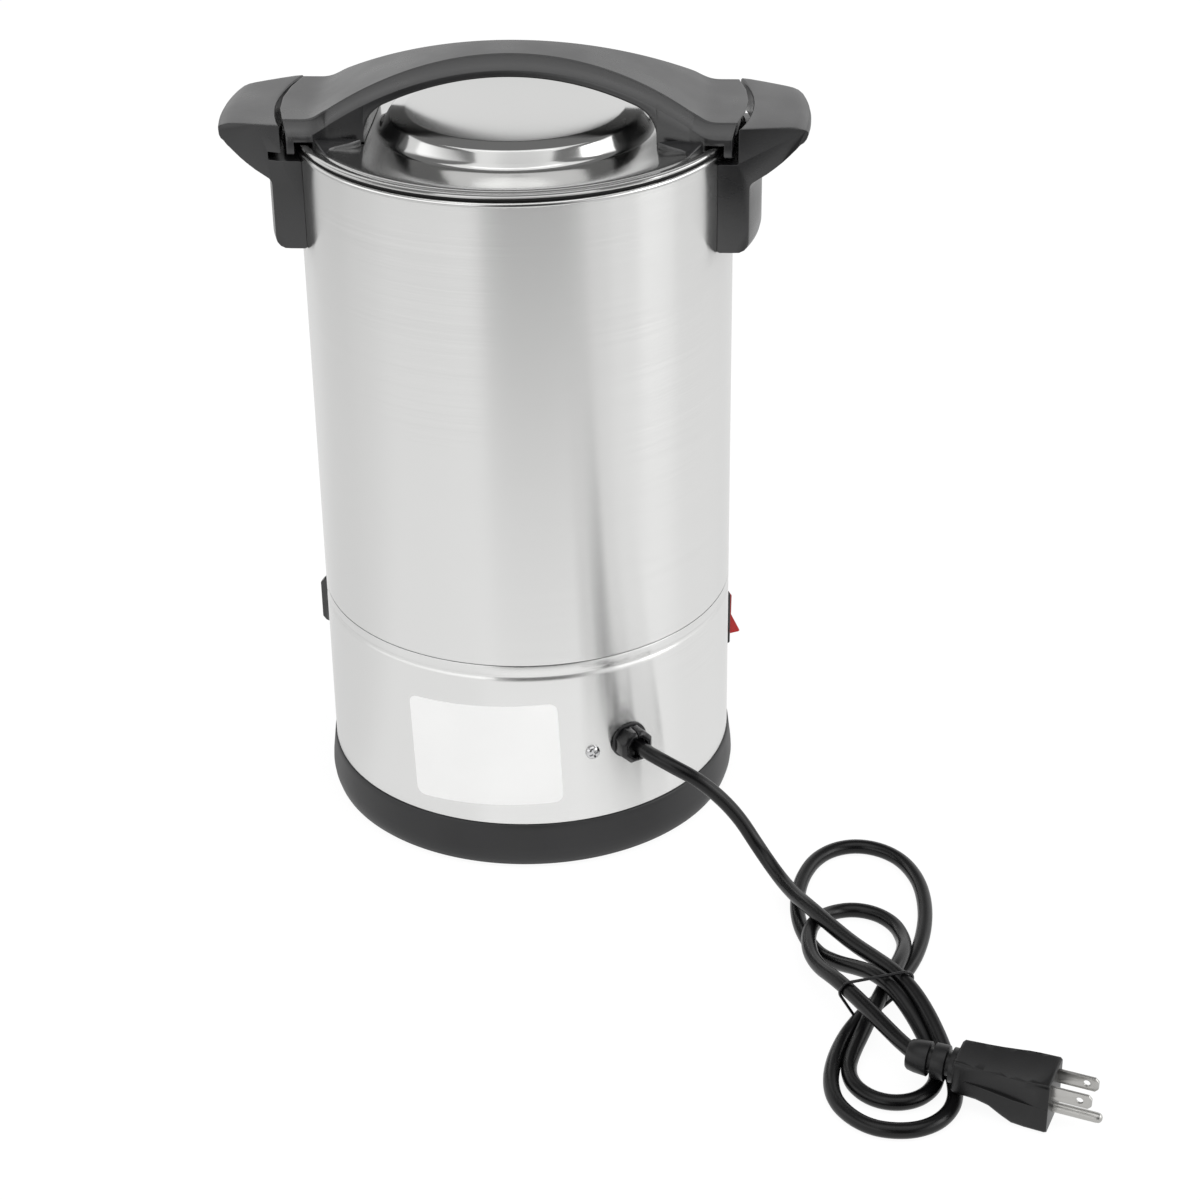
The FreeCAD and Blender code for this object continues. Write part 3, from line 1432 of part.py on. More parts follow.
def make_plug_body():
    """Moulded plug: a deep front for the pins, a waisted grip and a ribbed strain relief."""
    body = new_body("plug_body")
    length = size.plug_length
    top = size.plug_height
    side = new_sketch(body, "XZ_Plane")
    outline(side, [
        (0, 0.6), (0, top), (-length * 0.45, top - 1.6), (-length, top - 1.0), (-length, 8.6),
        (-length * 0.62, 8.2), (-length * 0.3, 0.6),
    ])
    pad(body, side, size.plug_half_width * 2, both_ways=True)
    for way in (-1, 1):
        taper = new_sketch(body, "XY_Plane")
        half = size.plug_half_width
        corners = [(-length - 1.0, way * (half - 5.0)), (-length * 0.45, way * (half - 1.5)), (0.0, way * half),
                   (0.0, way * (half + 5.0)), (-length - 1.0, way * (half + 5.0))]
        if way < 0:
            corners.reverse()
        outline(taper, corners)
        pocket(body, taper, 200.0, both_ways=True)
    soften(body, "Fillet", 2.2, plug_long_edge)
    start = length.number
    for index in range(3):
        rib = new_sketch(body, "YZ_Plane", offset=-(start + 7.4 * (index + 1) - 1.6))
        circle(rib, 0, PLUG_AXIS_HEIGHT, 6.6 - 0.3 * index)
        pad(body, rib, 5.6)
        core = new_sketch(body, "YZ_Plane", offset=-(start + 7.4 * (index + 1) - 1.6))
        circle(core, 0, PLUG_AXIS_HEIGHT, 5.0)
        pad(body, core, 7.6)
    seats = new_sketch(body, "YZ_Plane")
    for low, high in ((-7.1, -5.6), (5.6, 7.1)):
        rectangle(seats, low, 16.0, high, 22.4)
    circle(seats, 0, GROUND_PIN_HEIGHT, 2.4)
    pocket(body, seats, 6.0)
    body.Placement = plug_place()
    doc.recompute()
    return body


def plug_long_edge(edge):
    """True for the plug's edges along its upper corners."""
    box = edge.BoundBox
    return box.XLength > 8.0 and box.ZMin > 20.0


def make_plug_blades():
    """Two flat blades side by side, each with its hole."""
    body = new_body("plug_blades")
    sketch = new_sketch(body, "XZ_Plane")
    outline(sketch, [(-6.0, 16.0), (16.4, 16.0), (18.0, 17.6), (18.0, 20.8), (16.4, 22.4), (-6.0, 22.4)])
    circle(sketch, 12.6, 19.2, 1.6)
    pad(body, sketch, 14.2, both_ways=True)
    gap = new_sketch(body, "XY_Plane")
    rectangle(gap, -10.0, -5.6, 30.0, 5.6)
    pocket(body, gap, 200.0, both_ways=True)
    body.Placement = plug_place()
    doc.recompute()
    return body


def make_ground_pin():
    """Round earth pin with a domed end."""
    body = new_body("plug_ground_pin")
    sketch = new_sketch(body, "XZ_Plane")
    outline(sketch, [(-6.0, 0), (22.3, 0), (21.6, 1.6), (20.0, 2.4), (-6.0, 2.4)])
    revolve(body, sketch, role="X_Axis")
    place = plug_place()
    body.Placement = Placement(place.Base + Vector(0, 0, GROUND_PIN_HEIGHT), place.Rotation)
    doc.recompute()
    return body


def make_cord_tail():
    """The lead's last stretch, from the hank into the plug's strain relief."""
    place = plug_place()
    back = size.plug_length.number + 22.2
    end = place.multVec(Vector(-back, 0, PLUG_AXIS_HEIGHT))
    start = Vector(-183.5, 246.0, 13.2)
    span = end - start
    tube = Part.makeCylinder(size.lead_radius.number, span.Length, start, span)
    return code_part("cord_tail", tube)


# ---------------------------------------------------------------- build

def build_all():
    """Make every sub-part in the order it would be put together."""
    make_base_ring()
    make_bottom_cover()
    make_rubber_feet()
    make_bottom_screws()
    make_lower_housing()
    make_joint_ring()
    make_upper_jacket()
    make_inner_pot()
    make_pot_floor()
    make_insulation()
    make_heater_plate()
    make_heating_element()
    make_element_studs()
    make_thermal_cutout()
    make_heat_shield()
    make_thermostat()
    make_thermostat_shaft()
    make_knob()
    make_switch_housing()
    make_rocker()
    make_terminal_block()
    make_rear_screw()
    make_rating_label()
    make_cord_gland()
    make_lid_gasket()
    make_lid_cover()
    make_lid_inner_ring()
    make_lid_handle()
    make_lid_screws()
    make_side_handle("side_handle_right", 0.0)
    make_side_handle("side_handle_left", 180.0)
    make_handle_plates()
    make_handle_screws()
    make_tap_body()
    ring_on_tap("tap_outer_washer", 15.0, 102.0, 5.2, side=1)
    ring_on_tap("tap_inner_washer", 13.2, 95.4, 4.0, side=-1)
    ring_on_tap("tap_lock_nut", 14.5, 90.6, 4.8)
    make_tap_plug()
    make_tap_retainer()
    make_tap_lever()
    make_lever_screw()
    make_power_cord()
    make_cord_hank()
    make_cord_tie()
    make_plug_body()
    make_plug_blades()
    make_ground_pin()
    make_cord_tail()


def check_and_write():
    """Stop on any failed object, then write each sub-part's STEP file."""
    doc.recompute()
    for item in doc.Objects:
        if "Invalid" in item.State or "Error" in item.State:
            raise RuntimeError(f"{item.Name} ({item.Label}) failed: {item.State}")
    for item in sub_parts:
        shape = item.Shape
        if shape.isNull() or not shape.isValid() or not shape.Solids:
            raise RuntimeError(f"{item.Label}: bad shape")
    os.makedirs("parts", exist_ok=True)
    for item in sub_parts:
        item.Shape.exportStep(f"parts/{item.Label}.step")
        print(f"{item.Label:22s} {len(item.Shape.Solids)} solid(s) {item.Shape.Volume / 1000.0:9.2f} cm3")


build_all()
check_and_write()
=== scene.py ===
"""Looks of an electric candle wax melter: brushed steel pot, twist-on lid, tap and mains lead.

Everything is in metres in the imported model's frame; the classes state their sizes in
millimetres. The pot's axis is Z, the tap points to -Y, the lead leaves at the rear (+Y).
"""

import logging
import math
from contextlib import contextmanager
from dataclasses import dataclass
from enum import Enum
from typing import Callable, Iterator, Sequence

import bmesh
import bpy
from mathutils import Matrix, Vector
from mathutils.geometry import convex_hull_2d

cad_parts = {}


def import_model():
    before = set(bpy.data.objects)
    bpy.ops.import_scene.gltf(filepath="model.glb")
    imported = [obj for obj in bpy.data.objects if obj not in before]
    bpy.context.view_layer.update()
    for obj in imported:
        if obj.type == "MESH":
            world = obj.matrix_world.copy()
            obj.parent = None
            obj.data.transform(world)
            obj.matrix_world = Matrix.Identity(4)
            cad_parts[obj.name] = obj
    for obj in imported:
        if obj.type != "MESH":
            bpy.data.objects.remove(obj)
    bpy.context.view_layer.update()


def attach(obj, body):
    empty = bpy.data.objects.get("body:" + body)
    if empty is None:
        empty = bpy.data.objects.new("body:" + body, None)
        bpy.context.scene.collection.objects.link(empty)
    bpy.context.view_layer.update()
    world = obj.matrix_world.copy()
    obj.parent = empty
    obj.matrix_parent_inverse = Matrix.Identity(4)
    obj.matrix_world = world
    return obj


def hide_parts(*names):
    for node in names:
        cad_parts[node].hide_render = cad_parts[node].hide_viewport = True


MM = 0.001
SAME_PLACE = 1e-6
ProfilePoint = tuple[float, float]
Profile = tuple[ProfilePoint, ...]
Place = tuple[float, float, float]
Route = tuple[Place, ...]
Colour = tuple[float, float, float, float]
Piece = bpy.types.Object
Tree = bpy.types.NodeTree
Socket = bpy.types.NodeSocket
log = logging.getLogger("wax_melter")


class RigidBody(Enum):
    """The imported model's bodies that the new pieces ride on."""

    POT = "pot_and_base"
    SEAL = "lid_seal"
    LID = "lid"


class Brushing(Enum):
    """The way the abrasive belt ran over a steel surface."""

    AROUND = "lines run level round the body"
    SPUN = "lines run in circles about the lid's centre"
    PLAIN = "mill finish with no lines"


# ------------------------------------------------------------------ modelling helpers

def clear_selection() -> None:
    """Leave edit mode and deselect every object."""
    if bpy.context.object and bpy.context.object.mode != "OBJECT":
        bpy.ops.object.mode_set(mode="OBJECT")
    bpy.ops.object.select_all(action="DESELECT")


def pick(piece: Piece) -> None:
    """Make one piece the only selected and active object.

    Args:
        piece: the object.
    """
    clear_selection()
    piece.select_set(True)
    bpy.context.view_layer.objects.active = piece


@contextmanager
def editing(piece: Piece) -> Iterator[None]:
    """Edit mode, with all of one piece selected.

    Args:
        piece: the object.
    Returns:
        A context that ends in object mode.
    """
    pick(piece)
    bpy.ops.object.mode_set(mode="EDIT")
    bpy.ops.mesh.select_all(action="SELECT")
    yield
    bpy.ops.object.mode_set(mode="OBJECT")


def select_points(piece: Piece, test: Callable[[Vector], bool]) -> None:
    """Select the vertices that a test picks, in edit mode, and the edges and faces between them.

    Args:
        piece: the object in edit mode.
        test: takes a vertex's place in metres and says whether it is selected.
    """
    mesh = bmesh.from_edit_mesh(piece.data)
    mesh.select_mode = {"VERT"}
    bpy.context.tool_settings.mesh_select_mode = (True, False, False)
    for vertex in mesh.verts:
        vertex.select_set(test(vertex.co))
    mesh.select_flush_mode()
    bmesh.update_edit_mesh(piece.data)


def merge_doubles() -> None:
    """Merge the points that lie on each other, in edit mode."""
    bpy.ops.mesh.select_all(action="SELECT")
    bpy.ops.mesh.remove_doubles(threshold=SAME_PLACE)


def face_outwards() -> None:
    """Turn every face outwards, in edit mode."""
    bpy.ops.mesh.select_all(action="SELECT")
    bpy.ops.mesh.normals_make_consistent(inside=False)


def turned(name: str, profile: Sequence[ProfilePoint], segments: int = 192, closed: bool = False) -> Piece:
    """Turn a profile about Z: a ring is extruded, moved and resized from point to point.

    Args:
        name: the piece's name.
        profile: (radius, height) points in mm; only the first and last may be on the axis.
        segments: points round the ring.
        closed: joins the last ring to the first, for a ring-shaped solid.
    Returns:
        The new piece, with its doubles merged and its faces outwards.
    """
    first = 1 if profile[0][0] == 0 else 0
    radius, height = profile[first]
    clear_selection()
    fill = "TRIFAN" if first else "NOTHING"
    bpy.ops.mesh.primitive_circle_add(vertices=segments, radius=radius * MM, fill_type=fill)
    piece = bpy.context.object
    piece.name = name
    with editing(piece):
        bpy.ops.transform.translate(value=(0, 0, height * MM))
        if first:
            select_points(piece, lambda p: p.xy.length < SAME_PLACE)
            bpy.ops.transform.translate(value=(0, 0, (profile[0][1] - height) * MM))
            select_points(piece, lambda p: p.xy.length > SAME_PLACE)
        for next_radius, next_height in list(profile[first + 1:]) + ([profile[0]] if closed else []):
            lift = (0, 0, (next_height - height) * MM)
            bpy.ops.mesh.extrude_region_move(TRANSFORM_OT_translate={"value": lift})
            ratio = next_radius / radius
            bpy.ops.transform.resize(value=(ratio, ratio, 1), center_override=(0, 0, 0))
            radius, height = max(next_radius, 1e-9), next_height
        merge_doubles()
        face_outwards()
    return piece


def lofted(name: str, rings: Sequence[Sequence[Place]], capped: bool = True) -> Piece:
    """Extrude a loop of points from station to station, each time placed on the next outline.

    Args:
        name: the piece's name.
        rings: outlines of the same number of points, in mm.
        capped: closes both ends with a face.
    Returns:
        The new piece, with its faces outwards.
    """
    clear_selection()
    bpy.ops.mesh.primitive_circle_add(vertices=len(rings[0]), radius=1.0, fill_type="NOTHING")
    piece = bpy.context.object
    piece.name = name
    with editing(piece):
        mesh = bmesh.from_edit_mesh(piece.data)
        station = mesh.verts.layers.int.new("station")
        mesh.verts.ensure_lookup_table()
        for index, vertex in enumerate(mesh.verts):
            vertex[station] = index
            vertex.co = Vector(rings[0][index]) * MM
        bmesh.update_edit_mesh(piece.data)
        bpy.ops.mesh.select_all(action="SELECT")
        for ring in rings[1:]:
            bpy.ops.mesh.extrude_region_move(TRANSFORM_OT_translate={"value": (0, 0, 0)})
            mesh = bmesh.from_edit_mesh(piece.data)
            station = mesh.verts.layers.int["station"]
            for vertex in mesh.verts:
                if vertex.select:
                    vertex.co = Vector(ring[vertex[station]]) * MM
            bmesh.update_edit_mesh(piece.data)
        merge_doubles()
        if capped:
            bpy.ops.mesh.select_all(action="SELECT")
            bpy.ops.mesh.fill_holes(sides=0)
        face_outwards()
    piece.data.attributes.remove(piece.data.attributes["station"])
    return piece


def apply_modifier(piece: Piece, kind: str, **settings: object) -> None:
    """Add one modifier with these settings and apply it.

    Args:
        piece: the object.
        kind: the modifier's type.
        settings: its properties.
    """
    pick(piece)
    modifier = piece.modifiers.new(kind.lower(), kind)
    for key, value in settings.items():
        setattr(modifier, key, value)
    bpy.ops.object.modifier_apply(modifier=modifier.name)


def soften(piece: Piece, width: float, steps: int = 3, angle: float = 32.0) -> Piece:
    """Round the edges that are sharper than an angle and shade the rest smooth.

    Args:
        piece: the piece to finish.
        width: the rounding's width in mm, or 0 for none.
        steps: faces across the rounding.
        angle: degrees between two faces past which their edge is rounded.
    Returns:
        The same piece.
    """
    if width:
        apply_modifier(piece, "BEVEL", width=width * MM, segments=steps, limit_method="ANGLE",
                       angle_limit=math.radians(angle), use_clamp_overlap=True, miter_outer="MITER_ARC")
    pick(piece)
    bpy.ops.object.shade_smooth_by_angle(angle=math.radians(angle))
    return piece


def cut(piece: Piece, cutter: Piece) -> None:
    """Take one piece's space out of another with a boolean, and delete the cutter."""
    apply_modifier(piece, "BOOLEAN", operation="DIFFERENCE", object=cutter, solver="EXACT")
    bpy.data.objects.remove(cutter)


def merged(name: str, pieces: Sequence[Piece]) -> Piece:
    """Join several meshes into one piece with this name.

    Args:
        name: the joined piece's name.
        pieces: the meshes, of which the first stays.
    Returns:
        The joined piece.
    """
    clear_selection()
    for piece in pieces:
        piece.select_set(True)
    bpy.context.view_layer.objects.active = pieces[0]
    bpy.ops.object.join()
    pieces[0].name = name
    return pieces[0]


def bake(piece: Piece, matrix: Matrix) -> Piece:
    """Put a piece in its place inside its own mesh, so that its object stays at the origin.

    Args:
        piece: the object.
        matrix: where it goes, in metres.
    Returns:
        The same piece.
    """
    piece.matrix_world = matrix @ piece.matrix_world
    pick(piece)
    bpy.ops.object.transform_apply(location=True, rotation=True, scale=True)
    return piece


def copy_of(piece: Piece, name: str) -> Piece:
    """A second piece with a mesh of its own.

    Args:
        piece: the first one.
        name: the second one's name.
    Returns:
        The copy, linked to the scene.
    """
    twin = piece.copy()
    twin.data = piece.data.copy()
    twin.name = name
    bpy.context.scene.collection.objects.link(twin)
    return twin


def shifted(x: float, y: float, z: float) -> Matrix:
    """A shift in mm."""
    return Matrix.Translation(Vector((x, y, z)) * MM)


def resized(x: float, y: float, z: float) -> Matrix:
    """A change of size, for a primitive of one metre that becomes so many mm each way."""
    return Matrix.Diagonal((x * MM, y * MM, z * MM, 1))


def turn_z(degrees: float) -> Matrix:
    """A turn about the pot's axis."""
    return Matrix.Rotation(math.radians(degrees), 4, "Z")


def quarter_turn(axis: str) -> Matrix:
    """A right angle about an axis through the origin."""
    return Matrix.Rotation(math.radians(90), 4, axis)


def block(matrix: Matrix) -> Piece:
    """A box for cutting: a cube of one metre under a matrix.

    Args:
        matrix: its place and size.
    Returns:
        The box.
    """
    clear_selection()
    bpy.ops.mesh.primitive_cube_add(size=1.0)
    return bake(bpy.context.object, matrix)


def on_wall(azimuth: float, height: float, radius: float) -> Matrix:
    """The place on the casing at an azimuth counted from the rear: own +Z outwards, own +Y up.

    Args:
        azimuth: degrees round from the rear.
        height: in mm.
        radius: the wall's, in mm.
    Returns:
        The matrix that puts a fitting there.
    """
    upright = Matrix(((-1, 0, 0, 0), (0, 0, 1, 0), (0, 1, 0, 0), (0, 0, 0, 1)))
    angle = math.radians(azimuth)
    place = Vector((-radius * math.sin(angle), radius * math.cos(angle), height)) * MM
    return Matrix.Translation(place) @ turn_z(azimuth) @ upright


def rounded_box(half: float, low: float, high: float, radius: float, steps: int = 6) -> list[ProfilePoint]:
    """Corners of an upright rectangle with rounded corners, as (across, up) points.

    Args:
        half: half its width.
        low: its lower edge.
        high: its upper edge.
        radius: its corners' radius.
        steps: points less one at each corner.
    Returns:
        The outline, in mm.
    """
    points = []
    for turn, (across, up) in enumerate(((1, 1), (-1, 1), (-1, -1), (1, -1))):
        centre = Vector((across * (half - radius), high - radius if up > 0 else low + radius))
        for step in range(steps + 1):
            angle = math.radians(90.0 * turn + 90.0 * step / steps)
            points.append((centre.x + radius * math.cos(angle), centre.y + radius * math.sin(angle)))
    return points


def hand_over(piece: Piece, body: RigidBody, finish: "Finish", *nodes: str) -> Piece:
    """Give a finished piece its material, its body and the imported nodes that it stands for.

    Args:
        piece: the finished piece.
        body: what it moves with.
        finish: its material.
        nodes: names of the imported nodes.
    Returns:
        The same piece.
    """
    piece.data.materials.clear()
    piece.data.materials.append(finish.material())
    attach(piece, body.value)
    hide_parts(*nodes)
    log.info("%s rides on %s", piece.name, body.value)
    return piece


# ------------------------------------------------------------------ finishes

def srgb(code: str) -> Colour:
    """Turn a sRGB hex colour into linear RGBA.

    Args:
        code: the colour, such as #FFFFFF.
    Returns:
        Its linear channels.
    """
    channels = [int(code[i:i + 2], 16) / 255.0 for i in (1, 3, 5)]
    linear = [c / 12.92 if c <= 0.04045 else ((c + 0.055) / 1.055) ** 2.4 for c in channels]
    return (linear[0], linear[1], linear[2], 1.0)


def add_node(tree: Tree, kind: str, links: dict | None = None, values: dict | None = None,
             stops: Sequence[tuple[float, str]] = (), **settings: object) -> bpy.types.Node:
    """Add a node with its properties, its constant inputs and its links.

    Args:
        tree: the material's or world's node tree.
        kind: the node's type without the ShaderNode prefix.
        links: input name or index to an output socket that feeds it.
        values: input name or index to its constant value.
        stops: positions and hex colours, for a colour ramp.
        settings: the node's own properties.
    Returns:
        The new node.
    """
    node = tree.nodes.new("ShaderNode" + kind)
    for key, value in settings.items():
        setattr(node, key, value)
    for socket, value in (values or {}).items():
        node.inputs[socket].default_value = value
    for socket, source in (links or {}).items():
        tree.links.new(source, node.inputs[socket])
    for index, (position, code) in enumerate(stops):
        node.color_ramp.elements[index].position = position
        node.color_ramp.elements[index].color = srgb(code)
    return node


def eased(low: float, high: float, start: float = 0.0, end: float = 1.0) -> dict[str, float]:
    """The inputs that take a pattern's values from start to end to the range from low to high."""
    return {"From Min": start, "From Max": end, "To Min": low, "To Max": high}


@dataclass(frozen=True)
class Finish:
    """A surface finish: its slot, which nothing here reads, a common name and what the light does with it."""

    slot: str
    title: str
    colour: str
    roughness: float
    metal: bool = False
    ior: float = 1.5

    def place(self, tree: Tree, scale: Place) -> Socket:
        """Object coordinates multiplied by a scale in waves per metre for each axis."""
        coordinates = add_node(tree, "TexCoord").outputs["Object"]
        return add_node(tree, "Mapping", {"Vector": coordinates}, {"Scale": scale}).outputs["Vector"]

    def detail(self, tree: Tree, shader: bpy.types.Node) -> None:
        """Add the pattern that makes the surface more than one flat colour."""

    def material(self) -> bpy.types.Material:
        """The finish's material, made once."""
        found = bpy.data.materials.get(self.title)
        if found:
            return found
        material = bpy.data.materials.new(self.title)
        material.use_nodes = True
        tree = material.node_tree
        tree.nodes.clear()
        shader = add_node(tree, "BsdfPrincipled", values={
            "Base Color": srgb(self.colour), "Roughness": self.roughness,
            "Metallic": 1.0 if self.metal else 0.0, "IOR": self.ior})
        self.detail(tree, shader)
        add_node(tree, "OutputMaterial", {"Surface": shader.outputs["BSDF"]})
        material.diffuse_color = srgb(self.colour)
        return material


@dataclass(frozen=True)
class BrushedSteel(Finish):
    """Stainless sheet drawn under an abrasive belt: fine lines that smear reflections across them."""

    metal: bool = True
    brushing: Brushing = Brushing.AROUND
    line_pitch_mm: float = 0.35
    line_length_mm: float = 200.0
    roughness_spread: float = 0.02
    shade_steps: int = 3
    grain_depth: float = 0.0000002
    smear: float = 1.0
    # Waves per metre: spangle or pebbles 11 mm across, and clouds 140 mm wide and 250 mm tall.
    spangle: float = 90.0
    cloud: Place = (7.0, 7.0, 4.0)

    def lines(self, tree: Tree) -> Socket:
        """Coordinates that run fast across the belt's lines and slowly along them.

        Args:
            tree: the node tree.
        Returns:
            The coordinates.
        """
        waves, along = 1000.0 / self.line_pitch_mm, 1000.0 / self.line_length_mm
        if self.brushing is Brushing.AROUND:
            return self.place(tree, (along, along, waves))
        if self.brushing is Brushing.PLAIN:
            return self.place(tree, (self.spangle,) * 3)
        flat = self.place(tree, (1.0, 1.0, 0.0))
        length = add_node(tree, "VectorMath", {0: flat}, operation="LENGTH").outputs["Value"]
        scaled = add_node(tree, "Math", {0: length}, {1: waves}, operation="MULTIPLY").outputs["Value"]
        return add_node(tree, "CombineXYZ", {"X": scaled}).outputs["Vector"]

    def detail(self, tree: Tree, shader: bpy.types.Node) -> None:
        """Lines in the brushing's direction vary the roughness, the colour and a very fine bump.

        Args:
            tree: the node tree.
            shader: the main shader.
        """
        lines = add_node(tree, "TexNoise", {"Vector": self.lines(tree)},
                         {"Scale": 1.0, "Detail": 2.0, "Roughness": 0.6}).outputs["Fac"]
        cloud = add_node(tree, "TexNoise", {"Vector": self.place(tree, self.cloud)},
                         {"Scale": 1.0, "Detail": 2.0}).outputs["Fac"]
        half = self.roughness_spread / 2
        gloss = add_node(tree, "MapRange", {"Value": lines},
                         eased(self.roughness - half, self.roughness + half, 0.3, 0.7),
                         interpolation_type="SMOOTHSTEP").outputs["Result"]
        tree.links.new(gloss, shader.inputs["Roughness"])
        mixed = add_node(tree, "Math", {0: lines, 1: cloud}, operation="ADD").outputs["Value"]
        levels = (max(0, int(self.colour[i:i + 2], 16) - self.shade_steps) for i in (1, 3, 5))
        tint = add_node(tree, "ValToRGB", {"Fac": mixed},
                        stops=((0.8, "#%02X%02X%02X" % tuple(levels)), (1.2, self.colour))).outputs["Color"]
        tree.links.new(tint, shader.inputs["Base Color"])
        ridges = add_node(tree, "Bump", {"Height": lines}, {"Distance": self.grain_depth, "Strength": 1.0})
        tree.links.new(ridges.outputs["Normal"], shader.inputs["Normal"])
        if self.brushing is not Brushing.PLAIN:
            tangent = add_node(tree, "Tangent", direction_type="RADIAL", axis="Z").outputs["Tangent"]
            shader.inputs["Anisotropic"].default_value = self.smear
            shader.inputs["Anisotropic Rotation"].default_value = 0.25
            tree.links.new(tangent, shader.inputs["Tangent"])


@dataclass(frozen=True)
class Moulding(Finish):
    """Injection-moulded plastic with a fine spark-eroded grain that spreads its highlights.

    The real grain is about 0.2 mm wide; it is drawn some four times coarser, or none would show.
    """

    grain_mm: float = 0.9
    grain_depth: float = 0.00005
    lighter: str = "#242426"
    # Clouds 36 mm across, in waves per metre.
    cloud: float = 28.0

    def detail(self, tree: Tree, shader: bpy.types.Node) -> None:
        """Grain as bump, with faint cloudy changes of gloss and colour from the mould.

        Args:
            tree: the node tree.
            shader: the main shader.
        """
        waves = 1000.0 / self.grain_mm
        grain = add_node(tree, "TexNoise", {"Vector": self.place(tree, (waves,) * 3)},
                         {"Scale": 1.0, "Detail": 2.0}).outputs["Fac"]
        cloud = add_node(tree, "TexNoise", {"Vector": self.place(tree, (self.cloud,) * 3)},
                         {"Scale": 1.0, "Detail": 3.0}).outputs["Fac"]
        tint = add_node(tree, "ValToRGB", {"Fac": cloud},
                        stops=((0.35, self.colour), (0.65, self.lighter))).outputs["Color"]
        tree.links.new(tint, shader.inputs["Base Color"])
        gloss = add_node(tree, "MapRange", {"Value": cloud},
                         eased(self.roughness - 0.04, self.roughness + 0.05, 0.3, 0.7),
                         interpolation_type="SMOOTHSTEP").outputs["Result"]
        tree.links.new(gloss, shader.inputs["Roughness"])
        pits = add_node(tree, "Bump", {"Height": grain}, {"Distance": self.grain_depth, "Strength": 0.6})
        tree.links.new(pits.outputs["Normal"], shader.inputs["Normal"])


@dataclass(frozen=True)
class Plated(Finish):
    """Bright nickel or chrome plating with faint wipe marks."""

    metal: bool = True
    # Wipe marks 6 mm wide and 17 mm long, in waves per metre.
    wipe: Place = (160.0, 160.0, 60.0)

    def detail(self, tree: Tree, shader: bpy.types.Node) -> None:
        """Faint smudges vary the gloss.

        Args:
            tree: the node tree.
            shader: the main shader.
        """
        smudge = add_node(tree, "TexNoise", {"Vector": self.place(tree, self.wipe)},
                          {"Scale": 1.0, "Detail": 4.0}).outputs["Fac"]
        gloss = add_node(tree, "MapRange", {"Value": smudge},
                         eased(self.roughness, self.roughness + 0.12, 0.35, 0.75),
                         interpolation_type="SMOOTHSTEP").outputs["Result"]
        tree.links.new(gloss, shader.inputs["Roughness"])


@dataclass(frozen=True)
class Fibre(Finish):
    """Glass-wool blanket: matted fibres."""

    lighter: str = "#E4DFCB"
    # Fibres matted flat, 3 mm along the blanket and 0.7 mm through it, in waves per metre.
    fibre: Place = (300.0, 300.0, 1500.0)

    def detail(self, tree: Tree, shader: bpy.types.Node) -> None:
        """Stretched noise for the fibres.

        Args:
            tree: the node tree.
            shader: the main shader.
        """
        fibres = add_node(tree, "TexNoise", {"Vector": self.place(tree, self.fibre)},
                          {"Scale": 1.0, "Detail": 6.0}).outputs["Fac"]
        tint = add_node(tree, "ValToRGB", {"Fac": fibres},
                        stops=((0.35, self.colour), (0.65, self.lighter))).outputs["Color"]
        tree.links.new(tint, shader.inputs["Base Color"])
        mat = add_node(tree, "Bump", {"Height": fibres}, {"Distance": MM, "Strength": 1.0})
        tree.links.new(mat.outputs["Normal"], shader.inputs["Normal"])


# Stainless sheet brushed level round the body: light and dark draw out into upright bands. The belt's
# lines are a tenth of a millimetre apart; they are drawn three times coarser, or none would show.
CASING_STEEL = BrushedSteel("casing_steel", "stainless_brushed_level", "#ECECEB", 0.25)
HOUSING_STEEL = BrushedSteel("casing_steel", "stainless_brushed_level_base", "#ECECEB", 0.22)
# Drawn pot and spun lid: nearly mirrors, with a slight smear round the axis.
POT_STEEL = BrushedSteel("casing_steel", "stainless_drawn_pot", "#DADAD9", 0.18, smear=0.3)
LID_STEEL = BrushedSteel("lid_steel", "stainless_spun_lid", "#D5D5D4", 0.13, brushing=Brushing.SPUN,
                         line_pitch_mm=0.5, smear=0.3)
# Galvanised sheet: dull grey with soft clouds of lighter and darker zinc.
SHEET_STEEL = BrushedSteel("sheet_steel", "galvanised_sheet", "#A9ABAC", 0.38, brushing=Brushing.PLAIN,
                           shade_steps=14, grain_depth=0.00001)
ZINC_STEEL = Plated("zinc_steel", "zinc_plated_steel", "#B4B6B8", 0.3)
# Plated brass and steel: sharp reflections, broken by faint wipe marks.
TAP_CHROME = Plated("plated_metal", "chromed_brass", "#D8D8DA", 0.07)
PIN_NICKEL = Plated("pin_metal", "nickel_plated_brass", "#BDBCB9", 0.28)
SCREW_NICKEL = Plated("plated_metal", "nickel_plated_screw", "#CDCDCE", 0.12)
# Cast aluminium: matt, with a pebbled skin from the mould.
CAST_ALUMINIUM = BrushedSteel("cast_aluminium", "cast_aluminium", "#A7A8AA", 0.45, brushing=Brushing.PLAIN,
                              shade_steps=14, grain_depth=0.0001)
# Glass-filled nylon: near black, with grey sheen on the faces that look up.
BLACK_HANDLE = Moulding("black_moulding", "black_nylon_handle", "#1A1A1B", 0.29, lighter="#202021", ior=1.72)
# Polypropylene: an even charcoal that shines little.
BLACK_BASE = Moulding("base_moulding", "black_polypropylene_base", "#222223", 0.45, lighter="#282829", ior=1.46)
# Polished nylon and polycarbonate: small sharp highlights.
BLACK_GLOSS = Moulding("black_gloss", "black_nylon_gland", "#08080A", 0.22, grain_depth=0.00001, lighter="#0D0D0F")
RED_ROCKER = Moulding("red_rocker", "red_polycarbonate_rocker", "#A51512", 0.22, grain_depth=0.00001,
                      lighter="#B91A16")
